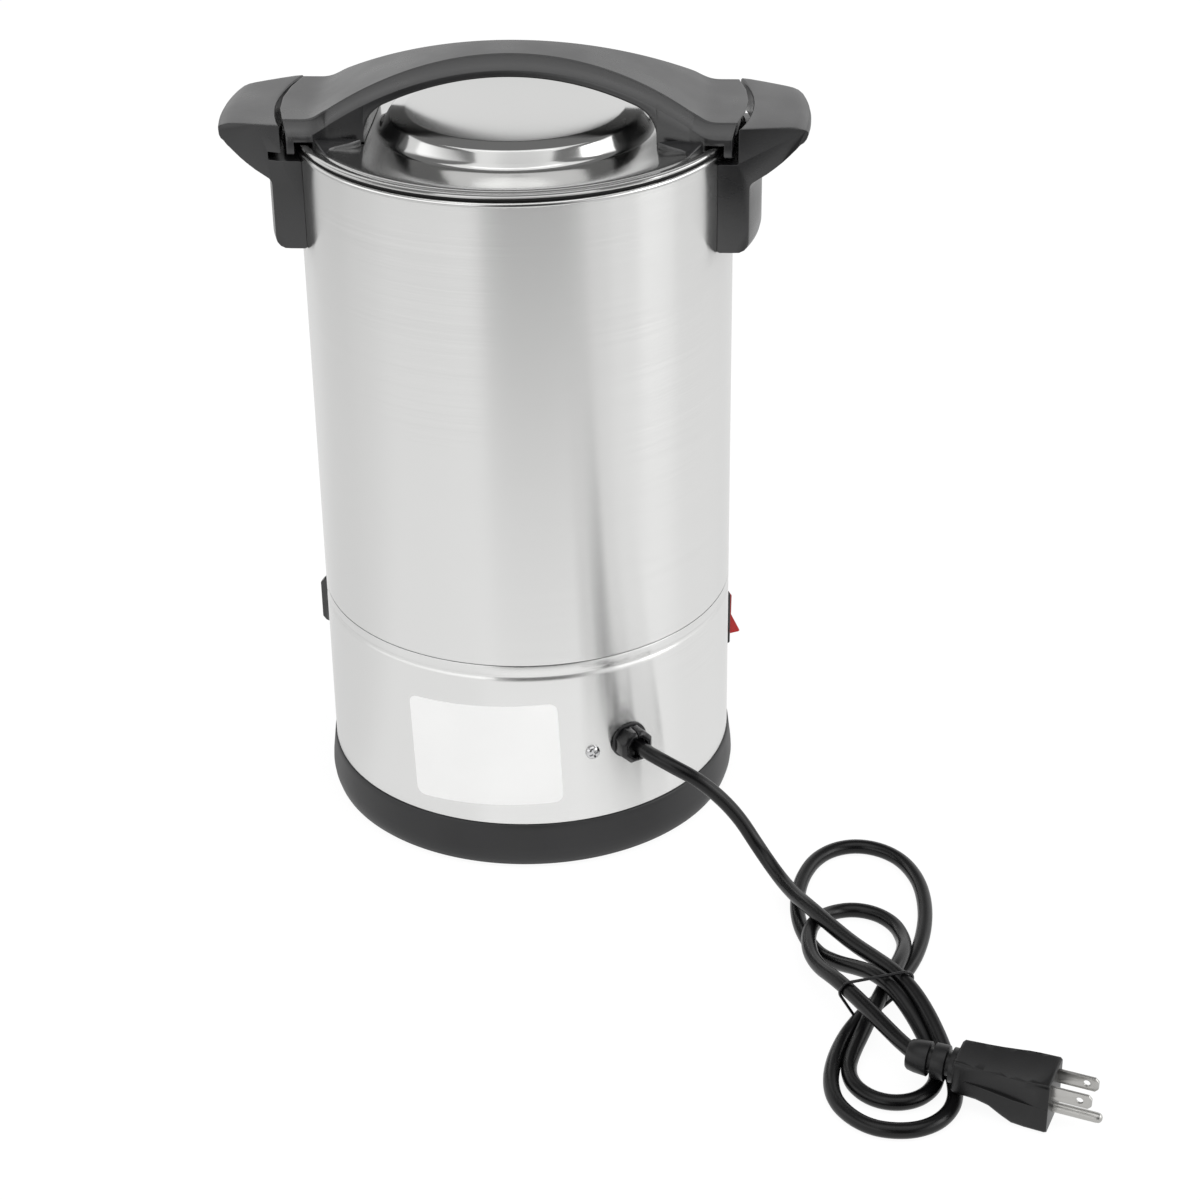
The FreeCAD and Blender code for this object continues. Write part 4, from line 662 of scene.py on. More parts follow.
# Soft PVC: black, with one soft line of light along the lead.
LEAD_PVC = Moulding("lead_rubber", "black_soft_pvc_lead", "#060607", 0.28, grain_mm=0.6, grain_depth=0.00002,
                    lighter="#0A0A0B", ior=1.4)
PLUG_PVC = Moulding("plug_plastic", "charcoal_moulded_pvc_plug", "#0C0C0D", 0.36, grain_mm=0.7,
                    lighter="#121213", ior=1.44)
# Rubber and silicone: black with hardly any gloss.
FOOT_RUBBER = Moulding("foot_rubber", "black_rubber_foot", "#141414", 0.7, lighter="#1C1C1C")
SEAL_RUBBER = Moulding("seal_rubber", "black_silicone_seal", "#0A0A0A", 0.7, lighter="#0E0E0E")
# Polyester film: paper white and matt.
LABEL_FILM = Moulding("label_film", "white_polyester_label", "#F8F8F7", 0.5, grain_mm=2.0, grain_depth=0.00002,
                      lighter="#FBFBFA")
# Steatite and glass wool: warm off-white, matt.
CERAMIC = Moulding("ceramic_white", "steatite_ceramic", "#D3CEC2", 0.55, lighter="#DDD8CC")
WOOL = Fibre("glass_wool", "glass_wool_blanket", "#CFC7A8", 0.95)


# ------------------------------------------------------------------ camera and studio

@dataclass(frozen=True)
class Sector:
    """A part of the room round the object, with soft edges.

    Its middle is in degrees round from the camera's side to its right; start and end are the cosines
    of the angles from the middle at which its level starts to show and shows in full.
    """

    azimuth: float
    start: float
    end: float


@dataclass(frozen=True)
class Lamp:
    """One soft box: its place and aim and size in metres, and its power in watts."""

    name: str
    place: Place
    target: Place
    width: float
    height: float
    power: float

    def make(self) -> None:
        """Add the lamp to the scene."""
        clear_selection()
        bpy.ops.object.light_add(type="AREA", location=self.place)
        lamp = bpy.context.object
        lamp.name = self.name
        lamp.data.shape = "RECTANGLE"
        lamp.data.size = self.width
        lamp.data.size_y = self.height
        lamp.data.energy = self.power
        aim = Vector(self.target) - Vector(self.place)
        lamp.rotation_euler = aim.to_track_quat("-Z", "Y").to_euler()


@dataclass
class Studio:
    """The camera, a pale floor, a white surround and soft boxes."""

    eye: Place = (-118.08, 1226.31, 779.04)
    pan: float = -0.0305
    tilt: float = 0.5060
    roll: float = -0.0134
    turn: float = 5.5
    lens: float = 80.09

    # Levels of the surround, from 0 to 1 and a little over where it has to clip to white.
    seen: float = 1.1
    soft_light: float = 0.8
    walls: float = 0.94
    walls_behind_camera: float = 0.08
    ceiling: float = 0.22
    wall_edge: tuple[float, float] = (0.44, 0.60)

    # The floor: its own colour, and what shows of it in mirrors near the object and far from it.
    floor_size: float = 60.0
    floor_colour: float = 0.62
    floor_white_share: float = 0.84
    near_floor: tuple[float, float] = (0.86, 1.0)
    far_floor: tuple[float, float] = (0.57, 0.0)
    floor_fade: tuple[float, float] = (0.86, 1.26)
    left_floor: float = 0.90
    behind_camera: Sector = Sector(6.0, 0.84, 0.995)
    far_left: Sector = Sector(-103.0, 0.8, 1.0)

    # Upright soft boxes stand this far from the axis, between these heights, in metres.
    box_reach: float = 2.2
    box_low: float = 0.5
    box_high: float = 2.0

    def make_camera(self) -> None:
        """Aim the camera down at the pot from behind."""
        forward = Vector((math.sin(self.pan) * math.cos(self.tilt),
                          -math.cos(self.pan) * math.cos(self.tilt), -math.sin(self.tilt)))
        right = forward.cross(Vector((0, 0, 1))).normalized()
        up = right.cross(forward)
        level = math.cos(self.roll) * right + math.sin(self.roll) * up
        upright = -math.sin(self.roll) * right + math.cos(self.roll) * up
        axes = Matrix((level, upright, -forward)).transposed().to_4x4()
        clear_selection()
        bpy.ops.object.camera_add()
        camera = bpy.context.object
        camera.data.lens = self.lens
        camera.data.sensor_width = 36.0
        camera.data.clip_end = 50.0
        camera.matrix_world = Matrix.Translation(Vector(self.eye) * MM) @ turn_z(self.turn) @ axes
        bpy.context.scene.camera = camera

    def seen_rays(self, tree: Tree) -> tuple[Socket, Socket]:
        """One for rays from the camera or through glass, and one for rays from a mirror or gloss.

        Args:
            tree: the node tree.
        Returns:
            The two sockets; both are zero for soft light.
        """
        path = add_node(tree, "LightPath")
        direct = add_node(tree, "Math", {0: path.outputs["Is Camera Ray"], 1: path.outputs["Is Transmission Ray"]},
                          operation="MAXIMUM")
        return direct.outputs["Value"], path.outputs["Is Glossy Ray"]

    def level_for_rays(self, tree: Tree, soft: float, mirrored: Socket) -> Socket:
        """White for what is seen, a paler grey for what is mirrored, and a level for soft light.

        Args:
            tree: the node tree.
            soft: the level for soft light.
            mirrored: the pattern of levels in mirrored rays.
        Returns:
            The level for the ray at hand.
        """
        direct, glossy = self.seen_rays(tree)
        in_mirror = add_node(tree, "Mix", {0: glossy, 3: mirrored}, {2: soft}, data_type="FLOAT").outputs[0]
        return add_node(tree, "Mix", {0: direct, 2: in_mirror}, {3: self.seen}, data_type="FLOAT").outputs[0]

    def by_sector(self, tree: Tree, around: float, inside: float, sector: Sector) -> Socket:
        """A level that changes in one sector of the room.

        Args:
            tree: the node tree.
            around: the level elsewhere.
            inside: the level in the sector.
            sector: the part of the room.
        Returns:
            The level for a direction, or for a place on the floor.
        """
        way = add_node(tree, "TexCoord").outputs["Object"]
        level_way = add_node(tree, "VectorMath", {0: way}, {1: (1, 1, 0)}, operation="MULTIPLY").outputs["Vector"]
        unit = add_node(tree, "VectorMath", {0: level_way}, operation="NORMALIZE").outputs["Vector"]
        angle = math.radians(self.turn + sector.azimuth)
        middle = (-math.sin(angle), math.cos(angle), 0)
        along = add_node(tree, "VectorMath", {0: unit}, {1: middle}, operation="DOT_PRODUCT").outputs["Value"]
        return add_node(tree, "MapRange", {"Value": along}, eased(around, inside, sector.start, sector.end),
                        interpolation_type="SMOOTHSTEP").outputs["Result"]

    def under_ceiling(self, tree: Tree, level: Socket) -> Socket:
        """Take a level down to a dim one above the white walls' upper edge.

        Args:
            tree: the node tree.
            level: the walls' level.
        Returns:
            The level for a direction.
        """
        way = add_node(tree, "TexCoord").outputs["Object"]
        unit = add_node(tree, "VectorMath", {0: way}, operation="NORMALIZE").outputs["Vector"]
        height = add_node(tree, "SeparateXYZ", {0: unit}).outputs["Z"]
        share = add_node(tree, "MapRange", {"Value": height}, eased(1.0, self.ceiling, *self.wall_edge),
                         interpolation_type="SMOOTHSTEP").outputs["Result"]
        return add_node(tree, "Math", {0: level, 1: share}, operation="MULTIPLY").outputs["Value"]

    def make_world(self) -> None:
        """White surround for what is seen, a pale grey one in mirrors and a darker one for soft light."""
        world = bpy.data.worlds.new("studio")
        bpy.context.scene.world = world
        world.use_nodes = True
        tree = world.node_tree
        tree.nodes.clear()
        around = self.by_sector(tree, self.walls, self.walls_behind_camera, self.behind_camera)
        strength = self.level_for_rays(tree, self.soft_light, self.under_ceiling(tree, around))
        back = add_node(tree, "Background", {"Strength": strength}, {"Color": (1, 1, 1, 1)})
        add_node(tree, "OutputWorld", {"Surface": back.outputs["Background"]})

    def make_floor(self) -> None:
        """A wide white floor that keeps the object's shadow, brightest in mirrors near the object."""
        clear_selection()
        bpy.ops.mesh.primitive_plane_add(size=1.0)
        floor = bpy.context.object
        floor.name = "studio_floor"
        with editing(floor):
            bpy.ops.transform.resize(value=(self.floor_size, self.floor_size, 1))
        material = bpy.data.materials.new("white_floor")
        material.use_nodes = True
        tree = material.node_tree
        tree.nodes.clear()
        base = add_node(tree, "BsdfDiffuse", values={"Color": (*[self.floor_colour] * 3, 1)})
        place = add_node(tree, "TexCoord").outputs["Object"]
        reach = add_node(tree, "VectorMath", {0: place}, operation="LENGTH").outputs["Value"]
        start, end = self.floor_fade
        pool = add_node(tree, "MapRange", {
            "Value": reach, "To Min": self.by_sector(tree, *self.near_floor, self.behind_camera),
            "To Max": self.by_sector(tree, *self.far_floor, self.behind_camera)},
            {"From Min": start, "From Max": end}, interpolation_type="SMOOTHSTEP").outputs["Result"]
        left = self.by_sector(tree, 1.0, self.left_floor, self.far_left)
        mirrored = add_node(tree, "Math", {0: pool, 1: left}, operation="MULTIPLY").outputs["Value"]
        glow = add_node(tree, "Emission", {"Strength": self.level_for_rays(tree, 0.0, mirrored)})
        direct, glossy = self.seen_rays(tree)
        shown = add_node(tree, "Math", {0: direct}, {1: self.floor_white_share}, operation="MULTIPLY")
        share = add_node(tree, "Math", {0: shown.outputs["Value"], 1: glossy}, operation="MAXIMUM")
        mixed = add_node(tree, "MixShader", {0: share.outputs["Value"], 1: base.outputs["BSDF"],
                                             2: glow.outputs["Emission"]})
        add_node(tree, "OutputMaterial", {"Surface": mixed.outputs["Shader"]})
        floor.data.materials.append(material)

    def upright_box(self, name: str, azimuth: float, width: float, power: float) -> Lamp:
        """An upright soft box that faces the object, so many degrees to the right of the camera.

        Args:
            name: the lamp's name.
            azimuth: degrees round from the camera's side.
            width: in metres.
            power: in watts.
        Returns:
            The lamp.
        """
        angle = math.radians(azimuth + self.turn)
        middle = (self.box_low + self.box_high) / 2
        place = (-self.box_reach * math.sin(angle), self.box_reach * math.cos(angle), middle)
        return Lamp(name, place, (0, 0, middle), width, self.box_high - self.box_low, power)

    def build(self) -> None:
        """Make the camera, the surround and the lamps."""
        self.make_camera()
        self.make_world()
        self.make_floor()
        lamps = (Lamp("top_box", (-0.1, 1.15, 2.4), (-0.1, 1.15, 0.0), 3.0, 2.9, 25),
                 Lamp("top_strip", (-0.1, 0.72, 2.35), (-0.1, 0.72, 0.0), 2.0, 0.35, 2),
                 self.upright_box("left_box", -58.0, 3.6, 10),
                 self.upright_box("right_wide_box", 84.0, 3.4, 14),
                 self.upright_box("right_core_box", 74.0, 0.85, 7))
        for lamp in lamps:
            lamp.make()
        bpy.context.scene.view_settings.view_transform = "Standard"


# ------------------------------------------------------------------ mains lead

def wire(name: str, kind: str, places: Sequence[Vector]) -> Piece:
    """A curve object with one spline.

    Args:
        name: the object's name.
        kind: the spline's type.
        places: its control points, in metres.
    Returns:
        The new curve object, linked to the scene.
    """
    curve = bpy.data.curves.new(name, "CURVE")
    curve.dimensions = "3D"
    spline = curve.splines.new(kind)
    spline.points.add(len(places) - 1)
    for control, place in zip(spline.points, places):
        control.co = (*place, 1.0)
    piece = bpy.data.objects.new(name, curve)
    bpy.context.scene.collection.objects.link(piece)
    return piece


@dataclass
class MainsLead:
    """Round black lead from the gland to a loosely tied bundle, with a moulded three-pin plug."""

    thickness: float = 7.4
    face: tuple[float, float] = (-255.0, 291.0)
    heading: float = 160.0

    # The route's corners on the way to the bundle, then each strand of the two long loops.
    drop: Route = (
        (-46.6, 72.3, 67.5), (-60.7, 94.2, 67.5), (-76.0, 106.9, 66.0), (-95.0, 110.5, 57.0), (-111.5, 108.8, 38.5),
        (-123.5, 112.5, 19.5), (-133.5, 125.0, 11.4))
    strand_over: Route = (
        (-141.0, 141.5, 12.6), (-148.8, 157.0, 15.8), (-158.8, 172.0, 16.0), (-169.2, 186.5, 16.2),
        (-180.0, 200.0, 17.6), (-189.2, 212.6, 18.8), (-197.6, 226.8, 17.4), (-204.6, 243.0, 13.2),
        (-210.2, 260.0, 7.4))
    loop_far: Route = (
        (-213.2, 275.0, 3.9), (-211.6, 288.4, 3.8), (-205.2, 299.0, 3.8), (-195.6, 305.2, 3.8), (-184.8, 306.7, 3.8),
        (-174.2, 304.6, 3.8), (-165.2, 297.6, 3.8), (-158.8, 287.6, 3.8), (-156.8, 275.4, 3.8), (-158.0, 262.5, 3.8),
        (-161.4, 249.0, 3.8), (-166.5, 236.0, 3.8), (-175.0, 221.0, 3.8), (-186.0, 205.0, 3.8))
    loop_near: Route = (
        (-196.4, 187.0, 3.8), (-202.4, 168.0, 3.8), (-205.6, 148.0, 3.8), (-205.7, 129.0, 3.8), (-203.1, 112.6, 3.8),
        (-196.3, 97.2, 3.8), (-186.1, 88.0, 3.8), (-174.0, 84.6, 3.8), (-162.0, 88.0, 3.8), (-152.2, 97.6, 3.8),
        (-145.8, 112.8, 3.8), (-142.9, 129.0, 3.8), (-142.6, 146.0, 3.8), (-145.6, 163.0, 3.8),
        (-152.5, 180.0, 5.0), (-161.5, 192.5, 9.4), (-170.0, 202.5, 14.6), (-178.5, 212.0, 18.4),
        (-187.0, 222.5, 17.6),
        (-195.5, 235.5, 12.4), (-202.4, 250.0, 6.4))
    loop_inner: Route = (
        (-205.6, 264.0, 3.8), (-203.8, 275.4, 3.8), (-196.4, 284.6, 3.8), (-185.6, 288.0, 3.8), (-175.0, 285.0, 3.8),
        (-167.2, 276.6, 3.8), (-164.8, 265.6, 3.8), (-167.2, 254.0, 4.4), (-172.0, 241.5, 6.4), (-178.0, 226.0, 9.6),
        (-184.0, 210.0, 11.2), (-189.8, 195.0, 11.4), (-193.6, 180.0, 8.8), (-194.2, 166.6, 4.8),
        (-190.8, 153.0, 3.8), (-182.4, 144.0, 3.8), (-171.0, 140.4, 3.8), (-160.0, 143.8, 4.2), (-152.4, 153.6, 6.8))
    strand_plug: Route = (
        (-148.6, 167.0, 10.6), (-147.4, 180.0, 12.2), (-149.0, 193.0, 13.2), (-153.2, 205.0, 15.4),
        (-159.0, 216.0, 18.6), (-166.5, 228.0, 19.6), (-174.5, 240.0, 19.0), (-183.0, 252.0, 17.2),
        (-190.0, 262.0, 16.2), (-196.0, 269.5, 16.2))

    # The plug's shell from its face back: distance, underside, top, half the width, corner radius.
    shell: tuple[tuple[float, ...], ...] = (
        (0.0, 0.7, 26.2, 11.3, 1.6), (-1.0, 0.6, 26.8, 12.0, 2.0), (-10.0, 0.6, 26.7, 11.9, 2.2),
        (-16.0, 0.9, 26.5, 11.7, 2.4), (-21.0, 3.0, 26.2, 11.2, 2.5), (-27.0, 6.2, 25.9, 10.7, 2.6),
        (-33.0, 7.4, 25.7, 10.3, 2.6), (-40.0, 7.6, 25.5, 9.9, 2.4), (-43.6, 7.8, 25.3, 9.6, 2.0),
        (-44.6, 8.6, 24.4, 8.8, 1.6))
    # Egg shapes that hollow the top and the sides for the fingers: centre and half sizes.
    grips: tuple[tuple[Place, Place], ...] = (
        ((-31.0, 0.0, 64.9), (96.0, 72.0, 40.0)),
        ((-32.0, 49.6, 19.0), (80.0, 40.0, 48.0)),
        ((-32.0, -49.6, 19.0), (80.0, 40.0, 48.0)))
    # The mould's parting line: distance, half the shell's width there, height of its lower edge.
    parting: Route = ((-0.6, 11.8, 13.6), (-16.0, 11.7, 14.4), (-27.0, 10.7, 15.4), (-44.0, 9.3, 16.6))
    parting_proud: float = 0.22
    parting_height: float = 0.5
    relief: Profile = (
        (0.0, -40.0), (8.1, -40.0), (8.1, -47.0), (5.5, -47.2), (5.5, -49.1), (8.2, -49.3), (8.2, -55.3),
        (5.5, -55.5), (5.5, -57.4), (8.0, -57.6), (7.6, -63.4), (7.0, -66.4), (6.2, -67.4), (0.0, -67.4))
    relief_height: float = 16.2

    # A blade's outline seen from the side, and the earth pin from its root to its tip.
    blade: Profile = ((-6.0, 16.4), (16.4, 16.4), (18.0, 18.0), (18.0, 21.8), (16.4, 23.4), (-6.0, 23.4))
    blade_offset: float = 6.35
    blade_thickness: float = 1.5
    hole: tuple[float, float] = (12.6, 19.9)
    hole_radius: float = 1.6
    pin: Profile = ((2.4, -6.0), (2.4, 19.4), (2.2, 20.8), (1.7, 21.5), (0.9, 21.95), (0.0, 22.1))
    pin_height: float = 7.3

    # The tie's plane, how far along it the strands lie, and the wire's distance from their middles.
    tie_origin: Place = (-160.0, 229.0, 0.0)
    tie_along: Place = (-0.93, -0.37, 0.0)
    tie_reach: tuple[float, float] = (-8.0, 46.0)
    tie_distance: float = 4.6
    tie_lowest: float = 0.85
    tie_thickness: float = 1.5

    def plug_matrix(self) -> Matrix:
        """The plug's own frame: +X the way its blades point, its underside on the floor."""
        return shifted(*self.face, 0) @ turn_z(self.heading)

    def points(self) -> list[Vector]:
        """The whole route, in metres."""
        parts = (self.drop, self.strand_over, self.loop_far, self.loop_near, self.loop_inner, self.strand_plug)
        return [Vector(point) * MM for part in parts for point in part]

    def line(self) -> list[Vector]:
        """Places along the smooth line that the route's points steer, in metres."""
        points = self.points()
        places = []
        for a, b, c in zip(points, points[1:], points[2:]):
            for step in range(8):
                t = step / 8.0
                places.append(a * (0.5 * (1 - t) ** 2) + b * (0.5 + t - t * t) + c * (0.5 * t * t))
        return places

    def make_cord(self) -> Piece:
        """One smooth spline through the route, as thick as the lead."""
        cord = wire("mains_cord", "NURBS", self.points())
        spline = cord.data.splines[0]
        # The points' radius brings a bevel of one metre down to the lead's, and the curve's box with it.
        for control in spline.points:
            control.radius = self.thickness / 2 * MM
        cord.data.bevel_depth = 1.0
        spline.order_u = 3
        spline.use_endpoint_u = True
        spline.resolution_u = 8
        cord.data.bevel_resolution = 6
        cord.data.use_fill_caps = True
        return cord

    def make_plug(self) -> Piece:
        """Moulded plug body: deep front, hollowed grip, parting line and a blocky strain relief."""
        body = lofted("plug_shell", [[(s, y, z) for y, z in rounded_box(half, low, high, corner)]
                                     for s, low, high, half, corner in self.shell])
        for centre, size in self.grips:
            clear_selection()
            bpy.ops.mesh.primitive_uv_sphere_add(segments=96, ring_count=48, radius=1.0)
            cut(body, bake(bpy.context.object, shifted(*centre) @ resized(*size)))
        rings = []
        for s, half, low in self.parting:
            edge, high = half + self.parting_proud, low + self.parting_height
            rings.append([(s, -edge, low), (s, edge, low), (s, edge, high), (s, -edge, high)])
        seam = lofted("plug_parting_line", rings)
        ribs = turned("plug_ribs", self.relief, 48)
        bake(ribs, shifted(0, 0, self.relief_height) @ quarter_turn("Y"))
        plug = merged("moulded_plug", [body, seam, ribs])
        soften(plug, 0.35, 2, 40.0)
        return bake(plug, self.plug_matrix())

    def make_blades(self) -> Piece:
        """Two flat blades with a chamfered end and a round hole each."""
        blades = []
        for middle in (-self.blade_offset, self.blade_offset):
            sides = (middle - self.blade_thickness / 2, middle + self.blade_thickness / 2)
            blade = lofted("plug_blade", [[(x, side, z) for x, z in self.blade] for side in sides])
            place = Vector((self.hole[0], middle, self.hole[1])) * MM
            clear_selection()
            bpy.ops.mesh.primitive_cylinder_add(vertices=32, radius=self.hole_radius * MM, depth=6 * MM,
                                                location=place, rotation=(math.radians(90), 0, 0))
            cut(blade, bpy.context.object)
            blades.append(soften(blade, 0.25, 2))
        return bake(merged("plug_blade_pair", blades), self.plug_matrix())

    def make_ground_pin(self) -> Piece:
        """Round earth pin with a domed tip."""
        pin = soften(turned("plug_earth_pin", self.pin, 32), 0, angle=50)
        return bake(pin, self.plug_matrix() @ shifted(0, 0, self.pin_height) @ quarter_turn("Y"))

    def tie_hoop(self) -> list[Vector]:
        """The tightest loop round the strands that cross the tie's plane, in metres."""
        origin, along = Vector(self.tie_origin), Vector(self.tie_along).normalized()
        across = along.cross(Vector((0, 0, 1)))
        line = [(place / MM) - origin for place in self.line()]
        turns = [math.radians(15.0 * step) for step in range(24)]
        first, last = self.tie_reach
        outline = []
        for a, b in zip(line, line[1:]):
            before, after = a.dot(across), b.dot(across)
            if before * after > 0 or before == after:
                continue
            hit = a.lerp(b, before / (before - after))
            if first < hit.dot(along) < last:
                outline += [(hit.dot(along) + self.tie_distance * math.cos(t),
                             max(self.tie_lowest, hit.z + self.tie_distance * math.sin(t))) for t in turns]
        hull = [outline[index] for index in convex_hull_2d(outline)]
        return [(origin + along * distance + Vector((0, 0, height))) * MM for distance, height in hull]

    def make_tie(self) -> Piece:
        """Thin plastic-covered wire pulled tight round the strands at the bundle's waist."""
        tie = wire("wire_tie", "POLY", self.tie_hoop())
        tie.data.splines[0].use_cyclic_u = True
        tie.data.bevel_depth = self.tie_thickness / 2 * MM
        tie.data.bevel_resolution = 3
        pick(tie)
        bpy.ops.object.convert(target="MESH")
        return soften(bpy.context.object, 0, angle=60)

    def build(self) -> None:
        cord = hand_over(self.make_cord(), RigidBody.POT, LEAD_PVC, "power_cord", "cord_hank", "cord_tail")
        plug = hand_over(self.make_plug(), RigidBody.POT, PLUG_PVC, "plug_body")
        blades = hand_over(self.make_blades(), RigidBody.POT, PIN_NICKEL, "plug_blades")
        pin = hand_over(self.make_ground_pin(), RigidBody.POT, PIN_NICKEL, "plug_ground_pin")
        tie = hand_over(self.make_tie(), RigidBody.POT, BLACK_GLOSS, "cord_tie")
        length = curve_length(cord)
        log.info("cord length %.3f m", length)


def curve_length(cord: Piece) -> float:
    """Measure a lead along its middle.

    Args:
        cord: the curve object.
    Returns:
        The length of its line, in metres.
    """
    depth, cord.data.bevel_depth = cord.data.bevel_depth, 0.0
    line = bpy.data.meshes.new_from_object(cord.evaluated_get(bpy.context.evaluated_depsgraph_get()))
    cord.data.bevel_depth = depth
    places = [vertex.co.copy() for vertex in line.vertices]
    bpy.data.meshes.remove(line)
    return sum((b - a).length for a, b in zip(places, places[1:]))


# ------------------------------------------------------------------ casing

@dataclass
class Casing:
    """Base ring, lower housing, the pot's outer skin and the pot, each as a turned profile."""

    # Slight flare, rounded foot, ledge for the housing, open inside.
    base: Profile = (
        (101.8, 1.5), (105.4, 1.5), (106.1, 2.2), (107.1, 5.4), (107.5, 8.5), (107.3, 12.0), (106.7, 17.0),
        (106.1, 22.0), (105.8, 24.6), (105.4, 25.3), (104.3, 25.4), (104.3, 31.4), (101.6, 31.4), (101.6, 8.0),
        (92.6, 8.0), (92.6, 4.2), (101.8, 4.2))
    # Outside with the rolled groove, then the inside down again.
    housing: Profile = (
        (105.0, 25.9), (105.0, 60.0), (105.0, 108.7), (105.0, 109.2), (104.92, 109.9), (104.6, 110.7),
        (104.33, 111.3), (104.25, 111.8), (104.33, 112.3), (104.6, 112.9), (104.92, 113.7), (105.0, 114.4),
        (105.0, 117.6), (104.85, 117.95),
        (104.25, 117.95), (104.2, 114.0), (103.45, 111.8), (104.2, 109.6), (104.2, 25.6), (104.8, 25.6))
    jacket: Profile = (
        (104.85, 118.45), (105.0, 118.8), (105.0, 119.3), (105.0, 160.0), (105.0, 240.0), (105.0, 320.0),
        (105.0, 356.9), (104.2, 356.9), (104.2, 118.45))
    # Floor and its rounded corner, wall and curled rim, then the outer face down again.
    pot: Profile = (
        (0.0, 124.0), (50.0, 124.0), (93.0, 124.0), (94.9, 124.4), (96.5, 125.5), (97.6, 127.1), (98.0, 129.0),
        (98.0, 200.0), (98.0, 280.0), (98.0, 356.2), (98.4, 357.2), (99.4, 357.8), (104.6, 357.8),
        (105.2, 357.6), (105.6, 357.25), (105.88, 356.7), (105.98, 356.1), (105.9, 355.7), (105.6, 355.4),
        (105.1, 355.2),
        (105.03, 355.8), (105.0, 356.9), (98.8, 356.9), (98.8, 129.0), (98.36, 126.8), (97.1, 124.9),
        (95.2, 123.65), (93.0, 123.2), (0.0, 123.2))
    tap_way: Profile = ((0.0, 80.0), (10.0, 80.0), (10.0, 130.0), (0.0, 130.0))
    tap_height: float = 143.0

    def bored(self, shell: Piece) -> Piece:
        """Bore the tap's way through the front of a shell."""
        cut(shell, bake(turned("tap_way", self.tap_way, 48), shifted(0, 0, self.tap_height) @ quarter_turn("X")))
        return shell

    def make_base(self) -> Piece:
        """Moulded ring with a slight flare, a rounded foot and an open inside."""
        return soften(turned("base_moulding", self.base, 256, closed=True), 0.3, 2)

    def make_housing(self) -> Piece:
        """Steel band with its rolled groove and a thin dark gap at each end."""
        return soften(turned("housing_band", self.housing, 256, closed=True), 0, angle=25)

    def make_jacket(self) -> Piece:
        """Outer skin from the seam up to the curled rim."""
        return soften(self.bored(turned("pot_jacket", self.jacket, 256, closed=True)), 0, angle=25)

    def make_pot(self) -> Piece:
        """Drawn pot: rounded floor corner, straight wall and a rim curled over the jacket."""
        return soften(self.bored(turned("melting_pot", self.pot, 224)), 0, angle=25)

    def build(self) -> None:
        """Make and dress the four shells."""
        hand_over(self.make_base(), RigidBody.POT, BLACK_BASE, "base_ring")
        hand_over(self.make_housing(), RigidBody.POT, HOUSING_STEEL, "lower_housing")
        hand_over(self.make_jacket(), RigidBody.POT, CASING_STEEL, "upper_jacket")
        hand_over(self.make_pot(), RigidBody.POT, POT_STEEL, "inner_pot", "pot_floor")


# ------------------------------------------------------------------ lid and handles

@dataclass
class Lid:
    """Spun steel lid and its seal."""

    # Dished crown, sloped shoulder, steep riser, shallow ring, raised bead; then the underside.
    cover: Profile = (
        (0.0, 367.55), (20.0, 367.56), (30.0, 367.61), (38.0, 367.72), (44.0, 367.84), (49.0, 367.96),
        (52.2, 368.05), (52.8, 368.06), (53.1, 368.02), (55.5, 367.5), (57.6, 367.0), (59.4, 366.5),
        (60.1, 366.2), (60.6, 365.75), (61.1, 365.0), (63.4, 361.2), (64.0, 360.2), (64.7, 359.35),
        (65.5, 358.65), (66.5, 358.25), (67.5, 358.2), (74.0, 358.45), (80.0, 358.85), (86.0, 359.4),
        (92.0, 360.1), (96.0, 360.5), (98.4, 360.6), (99.2, 360.5), (100.0, 360.3), (100.7, 360.3),
        (101.3, 360.55), (102.0, 360.9), (102.7, 361.0), (104.8, 361.0), (105.4, 360.8), (105.7, 360.4),
        (105.7, 359.9), (105.5, 359.65), (104.95, 359.65),
        (104.9, 360.2), (102.2, 360.2), (101.4, 359.8), (100.6, 359.5), (98.6, 359.8), (92.0, 359.3),
        (86.0, 358.6), (76.0, 357.8), (66.6, 357.4), (64.6, 358.0), (63.4, 359.6), (60.7, 364.2),
        (59.9, 365.2), (58.2, 365.9), (52.8, 367.2), (0.0, 366.8))
    seal: Profile = ((101.2, 357.8), (103.9, 357.8), (104.3, 358.2), (104.3, 359.8), (103.9, 360.2), (102.4, 360.2))

    def make_cover(self) -> Piece:
        """Slightly dished crown, sloped shoulder, steep riser, shallow ring and a raised bead at the edge."""
        return soften(turned("lid_shell", self.cover, 256), 0, angle=28)

    def make_seal(self) -> Piece:
        """Silicone ring whose edge shows as a black line."""
        return soften(turned("lid_seal_ring", self.seal, 192, closed=True), 0.15, 2)

    def build(self) -> None:
        """Make and dress the lid's turned pieces."""
        hand_over(self.make_cover(), RigidBody.LID, LID_STEEL, "lid_cover")
        hand_over(self.make_seal(), RigidBody.SEAL, SEAL_RUBBER, "lid_gasket")


